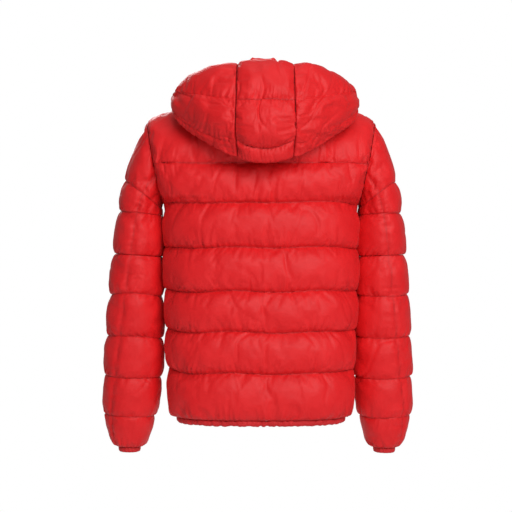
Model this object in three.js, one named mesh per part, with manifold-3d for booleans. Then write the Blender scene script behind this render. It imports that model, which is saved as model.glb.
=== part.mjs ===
// Hooded down ski jacket, built as the quilted pieces it is sewn from.
// Millimetres, +Z up. The wearer faces -Y and their left arm is on +X.
// The origin is the middle of the neck opening, level with the back of the neck.

import * as THREE from "three";
import { mergeVertices } from "three/addons/utils/BufferGeometryUtils.js";
import Module from "manifold-3d";

const wasm = await Module();
wasm.setup();

// ---- Driving dimensions ----

const GAP = 0.4; // clearance between neighbours

// Body of the jacket, measured over the padding
const chestHalfWidth = 197.5;
const hemHalfWidth = 185;
const chestZ = -330; // the body narrows below this height
const backDepth = 128; // centre back, from the neck's middle
const hemBackDepth = 121;
const squareness = 3; // 2 is an ellipse, more is boxier
const bodyPadding = 24; // shell to lining at the fullest
const bodyGroove = 12; // how deep a quilting seam sinks
const yokeSeamZ = -146;
const channelHeights = [77, 88, 86, 80, 81, 93]; // quilted channels, from the yoke seam down
const hemBindingHeight = 12;
const hemBindingThickness = 7;
const liningThickness = 1.8;

// Neck and collar
const neckHalfWidth = 84;
const neckBackDepth = 88;
const neckSideRise = 5; // the neck's side points stand above the back of the neck
const neckFrontDrop = 50;
const collarBackHeight = 70;
const collarSideHeight = 48;
const collarFrontHeight = 70;
const collarSideLean = 20;
const collarBackLean = 8;
const collarPadding = 14;

// Front opening, a straight line that leans back towards the collar
const frontTopDepth = 106; // at the top of the collar
const frontSlope = 0.045; // depth gained for each millimetre down
const zipGapHalf = 6; // centre line to the edge of a front panel

// Armhole, a ring in a leaning plane
const shoulderTip = new THREE.Vector3(232, 0, -50);
const armpit = new THREE.Vector3(199, 0, -219);
const armholeHalfDepth = 80;
const shoulderRise = 9; // how far the shoulder line bows up between neck and tip
const underarmBlend = 26; // height over which the side turns out to the armhole

// Sleeve stations: outer and inner edge [x, z], half-depth and forward offset
const sleevePadding = 17;
const sleeveGroove = 8;
const sleeveSquareness = 2.3;
const sleeveSwing = { left: 0.8, right: -0.8 }; // degrees each sleeve hangs out
const sleeveStations = [
  { outer: [shoulderTip.x, shoulderTip.z], inner: [armpit.x, armpit.z], depth: armholeHalfDepth, y: 0 },
  { outer: [278, -171], inner: [203, -229], depth: 80, y: -3 },
  { outer: [290, -237], inner: [203, -246], depth: 78, y: -6 },
  { outer: [300, -324], inner: [203, -329], depth: 74, y: -10 },
  { outer: [308, -405], inner: [203, -409], depth: 70, y: -14 },
  { outer: [314, -491], inner: [203, -494], depth: 66, y: -19 },
  { outer: [318, -574], inner: [204, -577], depth: 62, y: -24 },
  { outer: [319, -655], inner: [210, -658], depth: 56, y: -29 },
  { outer: [298, -722], inner: [231, -722], depth: 36, y: -33 },
];
const cuffBindingHeight = 12;
const cuffBindingThickness = 4;

// Hood, lying on the shoulders. Each rib runs from the rim over the back to the keel,
// then under and up to the neck seam: [x, y, z] at the middle, panel seam, side and end.
const hoodShift = -8; // the hood lies a little to the wearer's right
const hoodPadding = 12;
const hoodGroove = 6;
const hoodEndPadding = 0.4; // share of the padding left at the hood's front ends
const hoodPanelSeam = 0.3; // share of the half-width taken by the centre panel
const hoodRibs = {
  share: [0, hoodPanelSeam, 0.6, 0.85, 1],
  rim: [[0, 108, 52], [56, 100, 50], [96, 70, 34], [116, 20, 22], [112, -26, 14]],
  crown: [[0, 162, 36], [60, 154, 36], [122, 114, 24], [148, 44, 14], [124, -28, 12]],
  back: [[0, 198, -30], [62, 190, -30], [148, 134, -14], [172, 66, -2], [132, -26, 6]],
  belly: [[0, 206, -92], [63, 196, -84], [154, 138, -48], [180, 74, -20], [134, -24, 2]],
  keel: [[0, 174, -150], [58, 168, -136], [140, 122, -82], [172, 76, -40], [128, -22, -2]],
  tuck: [[0, 146, -76], [54, 138, -66], [118, 92, -34], [140, 46, -6], [116, -22, 0]],
  seam: [[0, 104, 2], [46, 96, 4], [92, 50, 10], [104, 8, 12], [104, -28, 6]],
};
const hoodRimHeight = 7;

// Front zip
const postHalf = 1; // half the width of the slider's post
const toothDepth = 3;
const tapeInset = 14; // how far the zip sits below the front's outer face
const sliderLength = 16;
const sliderPlate = 2.4;
const pullLength = 30;
const pullWidth = 7.6;
const pullThickness = 1.8;
const barRadius = 0.9;
const earWidth = 1;
const eyeRadius = 2.4;
const pullStandoff = eyeRadius + GAP;
const retainerLength = 9;

// Pocket zips
const pocketTop = { share: 0.46, z: -386 };
const pocketBottom = { share: 0.56, z: -548 };
const pocketSlotWidth = 17;
const pocketSlotDepth = 14;
const pocketTapeWidth = 14;
const pocketTapeThickness = 2.6;
const pocketSliderLength = 12;
const pocketSliderWidth = 8;
const pocketPullLength = 24;
const pocketPullWidth = 5;

// Hanging loop inside the back of the neck
const loopHalfWidth = 26;
const loopDrop = 14;
const loopThickness = 2;
const loopWidth = 6;

// Segments along each kind of piece
const backSegments = 16;
const frontSegments = 8;
const ringSegments = 16;
const hoodSegments = 8;
const yokeRows = 5; // rows up the inside of a yoke, paired with the rows of its shell

// ---- Worked-out values ----

const seamZ = [yokeSeamZ];
for (const height of channelHeights) seamZ.push(seamZ.at(-1) - height);
const hemSeamZ = seamZ.at(-1);
const hemZ = hemSeamZ - hemBindingHeight;
const armholeCentre = shoulderTip.clone().add(armpit).multiplyScalar(0.5);
const armholeUp = shoulderTip.clone().sub(armpit).normalize();
const armholeHalfHeight = shoulderTip.distanceTo(armpit) / 2;
const armholeOut = new THREE.Vector3(armholeUp.z, 0, -armholeUp.x);
const collarTopFrontZ = -neckFrontDrop + collarFrontHeight;
const toothInner = postHalf + GAP;
const zipEdge = zipGapHalf - GAP;
const yokeMargin = GAP / -yokeSeamZ; // share of a yoke's height kept clear at its edges

// ---- Materials ----

const finish = (color, roughness, metalness = 0) =>
  new THREE.MeshStandardMaterial({ color, roughness, metalness });
const shellRed = finish(0xd02426, 0.62);
const hoodRed = finish(0xc82024, 0.62);
const liningRed = finish(0x8c1014, 0.7);
const bindingRed = finish(0xb81a1e, 0.66);
const zipRed = finish(0xa01418, 0.45);
const zipMetal = finish(0x8a8c90, 0.3, 1);

// ---- Building closed pieces ----

const mix = THREE.MathUtils.lerp;
const smooth = (x) => THREE.MathUtils.smoothstep(x, 0, 1);

function spread(from, to, steps) {
  return Array.from({ length: steps + 1 }, (_, i) => mix(from, to, i / steps));
}

// Sweeps an outline of [along, inset] points sideways through the given shares, where
// place(share, along, inset) gives each point. A loop joins its last share to its first.
// A paired outline has two sides that run in step, so its ends are closed rung by rung.
function sew(outline, place, shares, { loop = false, paired = false } = {}) {
  const size = outline.length;
  const points = shares.flatMap((share) => outline.map(([along, inset]) => place(share, along, inset)));
  const faces = [];
  const spans = loop ? shares.length : shares.length - 1;
  for (let i = 0; i < spans; i++) {
    const here = i * size;
    const next = ((i + 1) % shares.length) * size;
    for (let j = 0; j < size; j++) {
      const k = (j + 1) % size;
      // Every strip is split the same way up, so that nested pieces stay parallel.
      if (outline[k][0] >= outline[j][0]) {
        faces.push([here + j, next + j, next + k], [here + j, next + k, here + k]);
      } else {
        faces.push([here + j, next + j, here + k], [next + j, next + k, here + k]);
      }
    }
  }
  if (!loop) {
    const flat = outline.map(([along, inset]) => new THREE.Vector2(along, inset));
    const cap = paired ? rungs(outline.length) : THREE.ShapeUtils.triangulateShape(flat, []);
    const contourTurn = THREE.ShapeUtils.isClockWise(flat) ? -1 : 1;
    const last = (shares.length - 1) * size;
    for (const [a, b, c] of cap) {
      const sameTurn = triangleTurn(flat[a], flat[b], flat[c]) === contourTurn;
      const [p, q] = sameTurn ? [b, c] : [c, b];
      faces.push([a, p, q], [last + a, last + q, last + p]);
    }
  }
  return solid(points, faces);
}

function rungs(size) {
  const pairs = Array.from({ length: size / 2 - 1 }, (_, j) => [j, size - 1 - j]);
  return pairs.flatMap(([j, k]) => [[j, j + 1, k], [j + 1, k - 1, k]]);
}

function triangleTurn(a, b, c) {
  return Math.sign((b.x - a.x) * (c.y - a.y) - (b.y - a.y) * (c.x - a.x));
}

// A geometry from points and faces, turned so that its faces point out.
function solid(points, faces) {
  let volume = 0;
  for (const [a, b, c] of faces) volume += points[a].dot(points[b].clone().cross(points[c]));
  const turned = volume < 0 ? faces.map(([a, b, c]) => [a, c, b]) : faces;
  const geometry = new THREE.BufferGeometry().setFromPoints(points);
  geometry.setIndex(turned.flat());
  return geometry;
}

function toManifold(geometry) {
  const bare = geometry.clone();
  bare.deleteAttribute("normal");
  bare.deleteAttribute("uv");
  const merged = mergeVertices(bare, 1e-3);
  const vertProperties = Float32Array.from(merged.attributes.position.array);
  const triVerts = Uint32Array.from(merged.index.array);
  return new wasm.Manifold(new wasm.Mesh({ numProp: 3, vertProperties, triVerts }));
}

function fromManifold(body) {
  const mesh = body.getMesh();
  const geometry = new THREE.BufferGeometry();
  geometry.setAttribute("position", new THREE.BufferAttribute(mesh.vertProperties, 3));
  geometry.setIndex(new THREE.BufferAttribute(mesh.triVerts, 1));
  return geometry;
}

function cut(geometry, tool) {
  return fromManifold(toManifold(geometry).subtract(toManifold(tool)));
}

function join(first, ...others) {
  const start = toManifold(first);
  return fromManifold(others.reduce((whole, next) => whole.add(toManifold(next)), start));
}

function box(width, depth, height, x = 0, y = 0, z = 0) {
  return new THREE.BoxGeometry(width, depth, height).translate(x, y, z);
}

const jacket = new THREE.Group();

function piece(name, geometry, material, parent = jacket) {
  const mesh = new THREE.Mesh(geometry, material);
  mesh.name = name;
  parent.add(mesh);
  return mesh;
}

// Outline of one quilted channel from its upper to its lower seam: it swells between
// the seams, fullest a little below the middle, and follows the lining in straight rows.
function channelOutline(from, to, padding, groove, rows = 1) {
  const swell = [[0, 1], [0.12, 0.42], [0.35, 0.08], [0.6, 0], [0.85, 0.32], [1, 1]];
  const shell = swell.map(([share, sunk]) => [mix(from, to, share), sunk * groove]);
  return [...shell, ...spread(to, from, rows).map((along) => [along, padding])];
}

// ---- Body ----

function frontDepthAt(z) {
  return frontTopDepth + frontSlope * (collarTopFrontZ - z);
}

function backDepthAt(z) {
  return mix(backDepth, hemBackDepth, smooth((chestZ - z) / (chestZ - hemZ)));
}

function halfWidthAt(z) {
  return mix(chestHalfWidth, hemHalfWidth, Math.max(0, (chestZ - z) / (chestZ - hemZ)) ** 1.4);
}

// A point of the armhole ring; turn runs from the shoulder tip (0) to the armpit (pi).
function armholePoint(side, face, turn, inset, clearance) {
  const point = armholeCentre.clone();
  point.addScaledVector(armholeUp, (armholeHalfHeight - inset) * Math.cos(turn));
  point.addScaledVector(armholeOut, clearance);
  point.y = face * (armholeHalfDepth - inset) * Math.sin(turn);
  point.x *= side;
  return point;
}

// Where the body's back or front meets the armhole or the side seam at a height.
function bodyEdge(z, inset) {
  const lift = (z - armholeCentre.z) / armholeUp.z / (armholeHalfHeight - inset);
  if (lift > -1) {
    const edge = armholePoint(1, 1, Math.acos(Math.min(lift, 1)), inset, -GAP);
    return { x: edge.x, y: edge.y };
  }
  const ringBottom = armholePoint(1, 1, Math.PI, inset, -GAP);
  const turnOut = smooth(1 - (ringBottom.z - z) / underarmBlend);
  return { x: mix(halfWidthAt(z) - inset, ringBottom.x, turnOut), y: 0 };
}

// A point of the body. The share runs from the wearer's right (-1) to their left (1).
function bodyPoint(face, share, z, inset) {
  const edge = bodyEdge(z, inset);
  const depth = (face > 0 ? backDepthAt(z) : frontDepthAt(z)) - inset;
  const turn = (Math.abs(share) * Math.PI) / 2;
  const x = edge.x * Math.sin(turn) ** (2 / squareness);
  const y = edge.y + (depth - edge.y) * Math.max(0, Math.cos(turn)) ** (2 / squareness);
  return new THREE.Vector3(Math.sign(share) * x, face * y, z);
}

// The share of a front at which its edge stands a distance from the centre line.
function frontShare(z, distance) {
  return (Math.asin((distance / bodyEdge(z, 0).x) ** (squareness / 2)) * 2) / Math.PI;
}

function neckHeight(turn) {
  const drop = Math.cos(turn) > 0 ? neckSideRise : neckSideRise + neckFrontDrop;
  return neckSideRise - drop * Math.cos(turn) ** 2;
}

// The neck edge; turn runs from the back (0) to the front (pi).
function neckPoint(side, turn, out = 0) {
  const depth = Math.cos(turn) > 0 ? neckBackDepth : frontDepthAt(-neckFrontDrop) - tapeInset / 2;
  const x = side * (neckHalfWidth + out) * Math.sin(turn);
  return new THREE.Vector3(x, (depth + out) * Math.cos(turn), neckHeight(turn));
}

const neckShare = 0.42; // share of a yoke's half-width that follows the neck
const neckEase = 4; // room between the yokes' straight facets and the round collar

// A point of a yoke, between the yoke seam (rise 0) and the neck and shoulder seam (1).
function yokePoint(face, share, rise, inset) {
  const side = share < 0 ? -1 : 1;
  const across = Math.abs(share);
  const low = bodyPoint(face, share, yokeSeamZ, inset);
  const lowMiddle = bodyPoint(face, 0, yokeSeamZ, inset);
  const lowEdge = bodyPoint(face, side, yokeSeamZ, inset);
  const high = yokeTop(side, face, across, inset);
  const highMiddle = yokeTop(side, face, 0, inset);
  const highEdge = yokeTop(side, face, 1, inset);
  const lift = (yokeSeamZ - armholeCentre.z) / armholeUp.z / (armholeHalfHeight - inset);
  const edge = armholePoint(side, face, Math.acos(lift) * (1 - rise), inset, -GAP);
  const middle = yokeMiddle(face, rise, lowMiddle, highMiddle);
  const point = low.multiplyScalar(1 - rise).addScaledVector(high, rise);
  point.addScaledVector(middle, 1 - across).addScaledVector(edge, across);
  point.addScaledVector(lowMiddle, -(1 - across) * (1 - rise));
  point.addScaledVector(lowEdge, -across * (1 - rise));
  point.addScaledVector(highMiddle, -(1 - across) * rise);
  point.addScaledVector(highEdge, -across * rise);
  point.y += face * GAP * rise;
  return point;
}

// The yoke's centre line: it rises straight and then rounds in to the neck at the back,
// and follows the zip's straight line at the front.
function yokeMiddle(face, rise, low, high) {
  const bow = face > 0 ? Math.cos((rise * Math.PI) / 2) ** 0.8 : 1 - rise;
  return new THREE.Vector3(0, mix(high.y, low.y, bow), mix(low.z, high.z, rise));
}

// The yoke's upper edge: round the neck, then out along the shoulder to its tip.
function yokeTop(side, face, across, inset) {
  const tip = armholePoint(side, face, 0, inset, -GAP);
  if (across < neckShare) {
    const turn = ((across / neckShare) * Math.PI) / 2;
    const point = neckPoint(side, face > 0 ? turn : Math.PI - turn, neckEase);
    point.z -= inset;
    return point;
  }
  const along = (across - neckShare) / (1 - neckShare);
  const start = neckPoint(side, Math.PI / 2, neckEase);
  start.z -= inset;
  const point = start.lerp(tip, along);
  point.z += shoulderRise * Math.sin(along * Math.PI);
  return point;
}

// Padding thins towards a panel's sewn edges, so shell points sink there.
function thinned(share, edges, inset, padding, groove) {
  const reach = 0.12;
  const nearest = Math.min(...edges.map((edge) => Math.abs(share - edge)));
  const full = smooth(nearest / reach);
  return inset >= padding ? inset : mix(Math.max(inset, groove), inset, full);
}

// The shares at which a panel of the back or of one front is sewn.
function panelShares(face, side) {
  const outer = 1 - GAP / 2 / chestHalfWidth;
  if (face > 0) return spread(-outer, outer, backSegments);
  return spread(side * frontShare(chestZ, zipGapHalf), side * outer, frontSegments);
}

// A front panel's inner edge stays straight beside the zip, so its shares shift with height.
function besideZip(share, shares, edge) {
  const inner = shares[0];
  const outer = shares.at(-1);
  return mix(Math.sign(outer) * edge, outer, (share - inner) / (outer - inner));
}

function clearOfZip(point, side) {
  if (side) point.x = side * Math.max(Math.abs(point.x), zipGapHalf);
  return point;
}

// A point of a back or front panel at a height below the yoke seam; side is 0 for the back.
function panelPoint(face, side, shares, share, z, inset) {
  const at = side ? besideZip(share, shares, frontShare(z, zipGapHalf)) : share;
  return clearOfZip(bodyPoint(face, at, z, inset), side);
}

// A point of a back or front yoke.
function panelYokePoint(face, side, shares, share, rise, inset) {
  const low = frontShare(yokeSeamZ, zipGapHalf);
  const high = (Math.asin(zipGapHalf / neckHalfWidth) * 2 * neckShare) / Math.PI;
  const at = side ? besideZip(share, shares, mix(low, high, rise)) : share;
  return clearOfZip(yokePoint(face, at, rise, inset), side);
}

function panelYoke(name, face, side) {
  const outline = channelOutline(1 - yokeMargin, yokeMargin / 2, bodyPadding, bodyGroove, yokeRows);
  const shares = panelShares(face, side);
  const place = (share, rise, inset) => {
    const sunk = thinned(share, [shares[0], shares.at(-1)], inset, bodyPadding, bodyGroove);
    return panelYokePoint(face, side, shares, share, rise, sunk);
  };
  piece(name, sew(outline, place, shares, { paired: true }), shellRed);
}

function panelChannel(name, face, side, upper, lower, tool) {
  const outline = channelOutline(upper - GAP / 2, lower + GAP / 2, bodyPadding, bodyGroove, 2);
  const shares = panelShares(face, side);
  const place = (share, z, inset) => {
    const sunk = thinned(share, [shares[0], shares.at(-1)], inset, bodyPadding, bodyGroove);
    return panelPoint(face, side, shares, share, z, sunk);
  };
  const geometry = sew(outline, place, shares);
  piece(name, tool ? cut(geometry, tool) : geometry, shellRed);
}

// A panel is a yoke and the quilted channels below it; a pocket cuts the ones it reaches.
function panel(word, face, side, pocket) {
  panelYoke(`${word}_yoke`, face, side);
  for (let i = 0; i < channelHeights.length; i++) {
    const reached = pocket && seamZ[i] > pocketBottom.z && seamZ[i + 1] < pocketTop.z;
    panelChannel(`${word}_channel_${i + 1}`, face, side, seamZ[i], seamZ[i + 1], reached && pocket);
  }
}

// The bound hem runs from one side of the zip round the back to the other.
function hemBinding() {
  const upper = hemSeamZ - GAP / 2;
  const middle = bodyPadding - hemBindingThickness;
  const outline = [[upper, middle - 2], [hemZ, middle], [hemZ, bodyPadding - 2], [upper, bodyPadding]];
  const start = frontShare(hemSeamZ, zipGapHalf);
  const front = spread(start, 1, frontSegments).slice(0, -1);
  const shares = [
    ...front.map((share) => ({ face: -1, share })),
    ...spread(1, -1, backSegments).map((share) => ({ face: 1, share })),
    ...front.map((share) => ({ face: -1, share: -share })).reverse(),
  ];
  const place = ({ face, share }, z, inset) => {
    const point = bodyPoint(face, share, z, inset);
    return face > 0 ? point : clearOfZip(point, Math.sign(share));
  };
  piece("hem_binding", sew(outline, place, shares), bindingRed);
}

// The lining hangs just inside the padding, one piece behind the back and each front. It
// ends one row of the yoke short of the neck and shoulder seam.
function lining(word, face, side) {
  const near = bodyPadding + GAP;
  const far = near + liningThickness;
  const shares = panelShares(face, side);
  const heights = seamZ.flatMap((z, i) => (i ? [mix(seamZ[i - 1], z, 0.5), z] : [z]));
  heights[heights.length - 1] += GAP;
  const rises = spread(yokeMargin / 2, 1 - yokeMargin, yokeRows).slice(1, -1);
  const rows = [
    ...heights.reverse().map((z) => (share, inset) => panelPoint(face, side, shares, share, z, inset)),
    ...rises.map((rise) => (share, inset) => panelYokePoint(face, side, shares, share, rise, inset)),
  ];
  const outline = [...rows.map((_, i) => [i, far]).reverse(), ...rows.map((_, i) => [i, near])];
  const place = (share, row, inset) => rows[row](share, inset);
  piece(`${word}_lining`, sew(outline, place, shares, { paired: true }), liningRed);
}

// ---- Collar ----

function collarTop(turn) {
  const front = Math.cos(turn) < 0;
  const end = front ? collarFrontHeight : collarBackHeight;
  return mix(collarSideHeight, end, Math.cos(turn) ** 2);
}

function collarPoint(turn, rise, inset) {
  const front = Math.cos(turn) < 0;
  const height = mix(-bodyPadding, collarTop(turn), rise);
  const z = neckHeight(turn) + height;
  const lean = smooth(Math.max(0, height) / collarBackHeight);
  const width = neckHalfWidth - collarSideLean * lean - inset;
  const back = neckBackDepth - collarBackLean * lean - inset;
  const depth = front ? frontDepthAt(z) - tapeInset / 2 - inset : back;
  return new THREE.Vector3(width * Math.sin(turn), depth * Math.cos(turn), z);
}

function collar() {
  const end = Math.PI - Math.asin(zipGapHalf / (neckHalfWidth - collarSideLean - collarPadding));
  const soft = collarPadding / 4;
  const outline = [
    [0, 0], [0.4, 0], [0.75, 0], [0.95, soft / 2], [1, soft],
    [1, collarPadding - soft], [0, collarPadding],
  ];
  piece("collar", sew(outline, collarPoint, spread(-end, end, ringSegments * 2)), shellRed);
}

function hangLoop() {
  const inside = neckBackDepth - collarPadding - GAP;
  const curve = new THREE.QuadraticBezierCurve3(
    new THREE.Vector3(-loopHalfWidth, inside - loopDrop, 0),
    new THREE.Vector3(0, inside - loopDrop / 2, -loopDrop),
    new THREE.Vector3(loopHalfWidth, inside - loopDrop, 0)
  );
  const band = new THREE.Shape();
  band.moveTo(-loopWidth / 2, -loopThickness / 2);
  band.lineTo(loopWidth / 2, -loopThickness / 2);
  band.lineTo(loopWidth / 2, loopThickness / 2);
  band.lineTo(-loopWidth / 2, loopThickness / 2);
  band.closePath();
  const settings = { steps: 10, bevelEnabled: false, extrudePath: curve };
  piece("hang_loop", new THREE.ExtrudeGeometry(band, settings), bindingRed);
}

// ---- Sleeves ----

// A point of a sleeve; turn 0 faces away from the body and a quarter turn the back.
function sleevePoint(word, turn, station, inset) {
  const side = word === "left" ? 1 : -1;
  const below = Math.min(Math.floor(station), sleeveStations.length - 2);
  const share = station - below;
  const upper = sleeveStations[below];
  const lower = sleeveStations[below + 1];
  const outer = new THREE.Vector2(...upper.outer).lerp(new THREE.Vector2(...lower.outer), share);
  const inner = new THREE.Vector2(...upper.inner).lerp(new THREE.Vector2(...lower.inner), share);
  const across = outer.clone().sub(inner);
  const half = across.length() / 2 - inset;
  const depth = mix(upper.depth, lower.depth, share) - inset;
  const cos = Math.cos(turn);
  const sin = Math.sin(turn);
  const reach = half * Math.sign(cos) * Math.abs(cos) ** (2 / sleeveSquareness);
  const flat = outer.add(inner).multiplyScalar(0.5).addScaledVector(across.normalize(), reach);
  const y = mix(upper.y, lower.y, share) + depth * Math.sign(sin) * Math.abs(sin) ** (2 / sleeveSquareness);
  const swing = THREE.MathUtils.degToRad(sleeveSwing[word]) * Math.min(station, 1);
  flat.rotateAround(new THREE.Vector2(armholeCentre.x, armholeCentre.z), swing);
  return new THREE.Vector3(side * flat.x, y, flat.y);
}

function sleeve(word) {
  const turns = spread(0, Math.PI * 2, ringSegments).slice(0, -1);
  const place = (turn, station, inset) => {
    const point = sleevePoint(word, turn, station, inset);
    const side = Math.sign(point.x);
    if (station < 1) {
      point.x += side * armholeOut.x * GAP * (1 - station);
      point.z += armholeOut.z * GAP * (1 - station);
    }
    return point;
  };
  for (let i = 0; i < sleeveStations.length - 1; i++) {
    const margin = GAP / 2 / (sleeveStations[i].inner[1] - sleeveStations[i + 1].inner[1]);
    const from = i === 0 ? 0 : i + margin;
    const outline = channelOutline(from, i + 1 - margin, sleevePadding, sleeveGroove);
    piece(`sleeve_${word}_channel_${i + 1}`, sew(outline, place, turns, { loop: true }), shellRed);
  }
  cuffBinding(word, turns);
}

function cuffBinding(word, turns) {
  const last = sleeveStations.length - 1;
  const near = sleevePadding - cuffBindingThickness;
  const outline = [[0, near - 1], [1, near], [1, sleevePadding], [0, sleevePadding]];
  const place = (turn, along, inset) => {
    const point = sleevePoint(word, turn, last, inset);
    point.z -= mix(GAP / 2, cuffBindingHeight, along);
    return point;
  };
  piece(`sleeve_${word}_cuff_binding`, sew(outline, place, turns, { loop: true }), bindingRed);
}

// ---- Hood ----

// Reads one named line of the hood at a share of its half-width.
function hoodLine(line, across) {
  const points = hoodRibs[line].map((point) => new THREE.Vector3(...point));
  const mirrored = points.slice(1).reverse().map((p) => new THREE.Vector3(-p.x, p.y, p.z));
  const curve = [...mirrored, ...points];
  const knots = [...hoodRibs.share.slice(1).reverse().map((share) => -share), ...hoodRibs.share];
  let i = 0;
  while (i < knots.length - 2 && across > knots[i + 1]) i++;
  const t = (across - knots[i]) / (knots[i + 1] - knots[i]);
  const tangent = (k) => {
    const a = Math.max(0, k - 1);
    const b = Math.min(knots.length - 1, k + 1);
    return curve[b].clone().sub(curve[a]).divideScalar(knots[b] - knots[a]);
  };
  const span = knots[i + 1] - knots[i];
  const t2 = t * t;
  const t3 = t2 * t;
  return curve[i].clone().multiplyScalar(2 * t3 - 3 * t2 + 1)
    .addScaledVector(tangent(i), (t3 - 2 * t2 + t) * span)
    .addScaledVector(curve[i + 1], 3 * t2 - 2 * t3)
    .addScaledVector(tangent(i + 1), (t3 - t2) * span);
}

function hoodSurface(lines, across, along) {
  const stations = lines.map((line) => hoodLine(line, across));
  return new THREE.CatmullRomCurve3(stations).getPoint(along);
}

// A point of the hood above its lines by the lift, which runs away from the pouch.
function hoodPoint(lines, across, along, lift) {
  const step = 0.01;
  const at = hoodSurface(lines, across, along);
  const left = hoodSurface(lines, Math.max(-1, across - step), along);
  const right = hoodSurface(lines, Math.min(1, across + step), along);
  const above = hoodSurface(lines, across, Math.max(0, along - step));
  const below = hoodSurface(lines, across, Math.min(1, along + step));
  const normal = right.sub(left).cross(below.sub(above)).normalize();
  const sideShare = hoodRibs.share[2];
  const towardsEnd = smooth((Math.abs(across) - sideShare) / (1 - sideShare));
  const thin = mix(1, hoodEndPadding, towardsEnd);
  at.addScaledVector(normal, lift * thin);
  at.x += hoodShift;
  return at;
}

const shellLines = ["rim", "crown", "back", "belly", "keel"];
const napeLines = ["keel", "tuck", "seam"];

function hood() {
  const outline = [
    [0.04, hoodGroove / 2], [0.12, 0], [0.38, 0], [0.48, hoodGroove],
    [0.56, 0], [0.84, 0], [0.93, 1], [0.99, hoodGroove],
    [0.99, hoodPadding], [0.75, hoodPadding], [0.5, hoodPadding], [0.25, hoodPadding], [0.04, hoodPadding],
  ];
  const seam = hoodPanelSeam;
  const margin = GAP / 2 / neckHalfWidth;
  const edge = (across, along, lift) => hoodPoint(shellLines, across, along, lift);
  const shell = (across, along, inset) => edge(across, along, hoodPadding - inset);
  piece("hood_centre", sew(outline, shell, spread(-seam + margin, seam - margin, hoodSegments)), hoodRed);
  piece("hood_left", sew(outline, shell, spread(seam + margin, 1, hoodSegments + 4)), hoodRed);
  piece("hood_right", sew(outline, shell, spread(-seam - margin, -1, hoodSegments + 4)), hoodRed);
  const under = [
    [0.03, 0], [0.25, 0], [0.5, 0], [0.75, 0], [1, 0],
    [1, hoodPadding / 2], [0.75, hoodPadding / 2], [0.5, hoodPadding / 2],
    [0.25, hoodPadding / 2], [0.12, hoodPadding / 2],
  ];
  const nape = (across, along, inset) => hoodPoint(napeLines, across, along, inset);
  piece("hood_nape", sew(under, nape, spread(-1, 1, hoodSegments * 3)), hoodRed);
  const rim = [[0, 0], [0.035, 0], [0.035, hoodRimHeight], [0, hoodRimHeight]];
  piece("hood_rim", sew(rim, edge, spread(-1, 1, hoodSegments * 3)), bindingRed);
}

// ---- Zips ----

// The slider's front plate carries two ears and a crossbar for the pull.
function pullMount(width, length) {
  const plate = box(width, sliderPlate, length, 0, -sliderPlate / 2, 0);
  const earDepth = pullStandoff + barRadius;
  const earY = -sliderPlate - earDepth / 2 + GAP / 2;
  const ears = [-1, 1].map((side) => {
    const x = (side * (width - earWidth)) / 2;
    return box(earWidth, earDepth + GAP, barRadius * 4, x, earY, 0);
  });
  const bar = new THREE.CylinderGeometry(barRadius, barRadius, width - earWidth, 12);
  bar.rotateZ(Math.PI / 2).translate(0, -sliderPlate - pullStandoff, 0);
  return join(plate, ...ears, bar);
}

// The front zip's slider also has a back plate, held by a post between the rows of teeth.
function slider(width, length, channel) {
  const front = pullMount(width, length).translate(0, -channel / 2, 0);
  const back = box(width, sliderPlate, length, 0, (channel + sliderPlate) / 2, 0);
  const post = box(postHalf * 2, channel + sliderPlate, length / 4, 0, 0, (length / 8) * 3);
  return join(front, back, post);
}

// A pull: an eye that turns on the crossbar and a flat tab below it.
function pull(width, length) {
  const half = pullThickness / 2;
  const start = Math.asin(half / eyeRadius);
  const side = new THREE.Shape();
  side.moveTo(-length, -half);
  side.lineTo(-length, half);
  side.absarc(0, 0, eyeRadius, Math.PI - start, Math.PI + start, true);
  side.closePath();
  const hole = new THREE.Path();
  hole.absarc(0, 0, barRadius + GAP, 0, Math.PI * 2, false);
  side.holes.push(hole);
  const settings = { depth: width, bevelEnabled: false, curveSegments: 12 };
  const tab = new THREE.ExtrudeGeometry(side, settings).translate(0, 0, -width / 2);
  return tab.applyMatrix4(new THREE.Matrix4().makeBasis(
    new THREE.Vector3(0, 0, 1), new THREE.Vector3(0, 1, 0), new THREE.Vector3(-1, 0, 0)
  ));
}

// A group whose Z runs up a zip and whose -Y faces out of the jacket.
function zipFrame(origin, up, out) {
  const group = new THREE.Group();
  const across = up.clone().cross(out).normalize();
  const inward = out.clone().negate();
  group.quaternion.setFromRotationMatrix(new THREE.Matrix4().makeBasis(across, inward, up));
  group.position.copy(origin);
  jacket.add(group);
  group.updateMatrixWorld();
  return group;
}

function frontZip() {
  const up = new THREE.Vector3(0, frontSlope, 1).normalize();
  const out = new THREE.Vector3(0, -up.z, up.y);
  const topZ = collarTopFrontZ - GAP * 4;
  const origin = new THREE.Vector3(0, -(frontDepthAt(topZ) - tapeInset), topZ);
  const frame = zipFrame(origin, up, out);
  const length = (topZ - hemZ) / up.z;
  const width = zipEdge - toothInner;
  const middle = (zipEdge + toothInner) / 2;
  const stopTop = sliderLength / 4 + 1;
  for (const [word, side] of [["left", 1], ["right", -1]]) {
    const tape = box(width, toothDepth / 2, length, side * middle, toothDepth / 4, -length / 2);
    const teethLength = length - stopTop;
    const teethX = side * (toothInner + width * 0.3);
    const teeth = box(width * 0.6, toothDepth, teethLength, teethX, 0, -stopTop - teethLength / 2);
    const body = side > 0 ? join(tape, teeth, retainer(side, length)) : join(tape, teeth);
    piece(`front_zip_${word}`, body, zipRed, frame);
  }
  const channel = toothDepth + GAP * 2;
  const rest = -sliderLength / 2;
  piece("front_slider", slider(zipEdge * 2 - GAP, sliderLength, channel), zipMetal, frame)
    .position.set(0, 0, rest);
  piece("front_pull", pull(pullWidth, pullLength), zipMetal, frame)
    .position.set(0, -(channel / 2 + sliderPlate + pullStandoff), rest);
}

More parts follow.
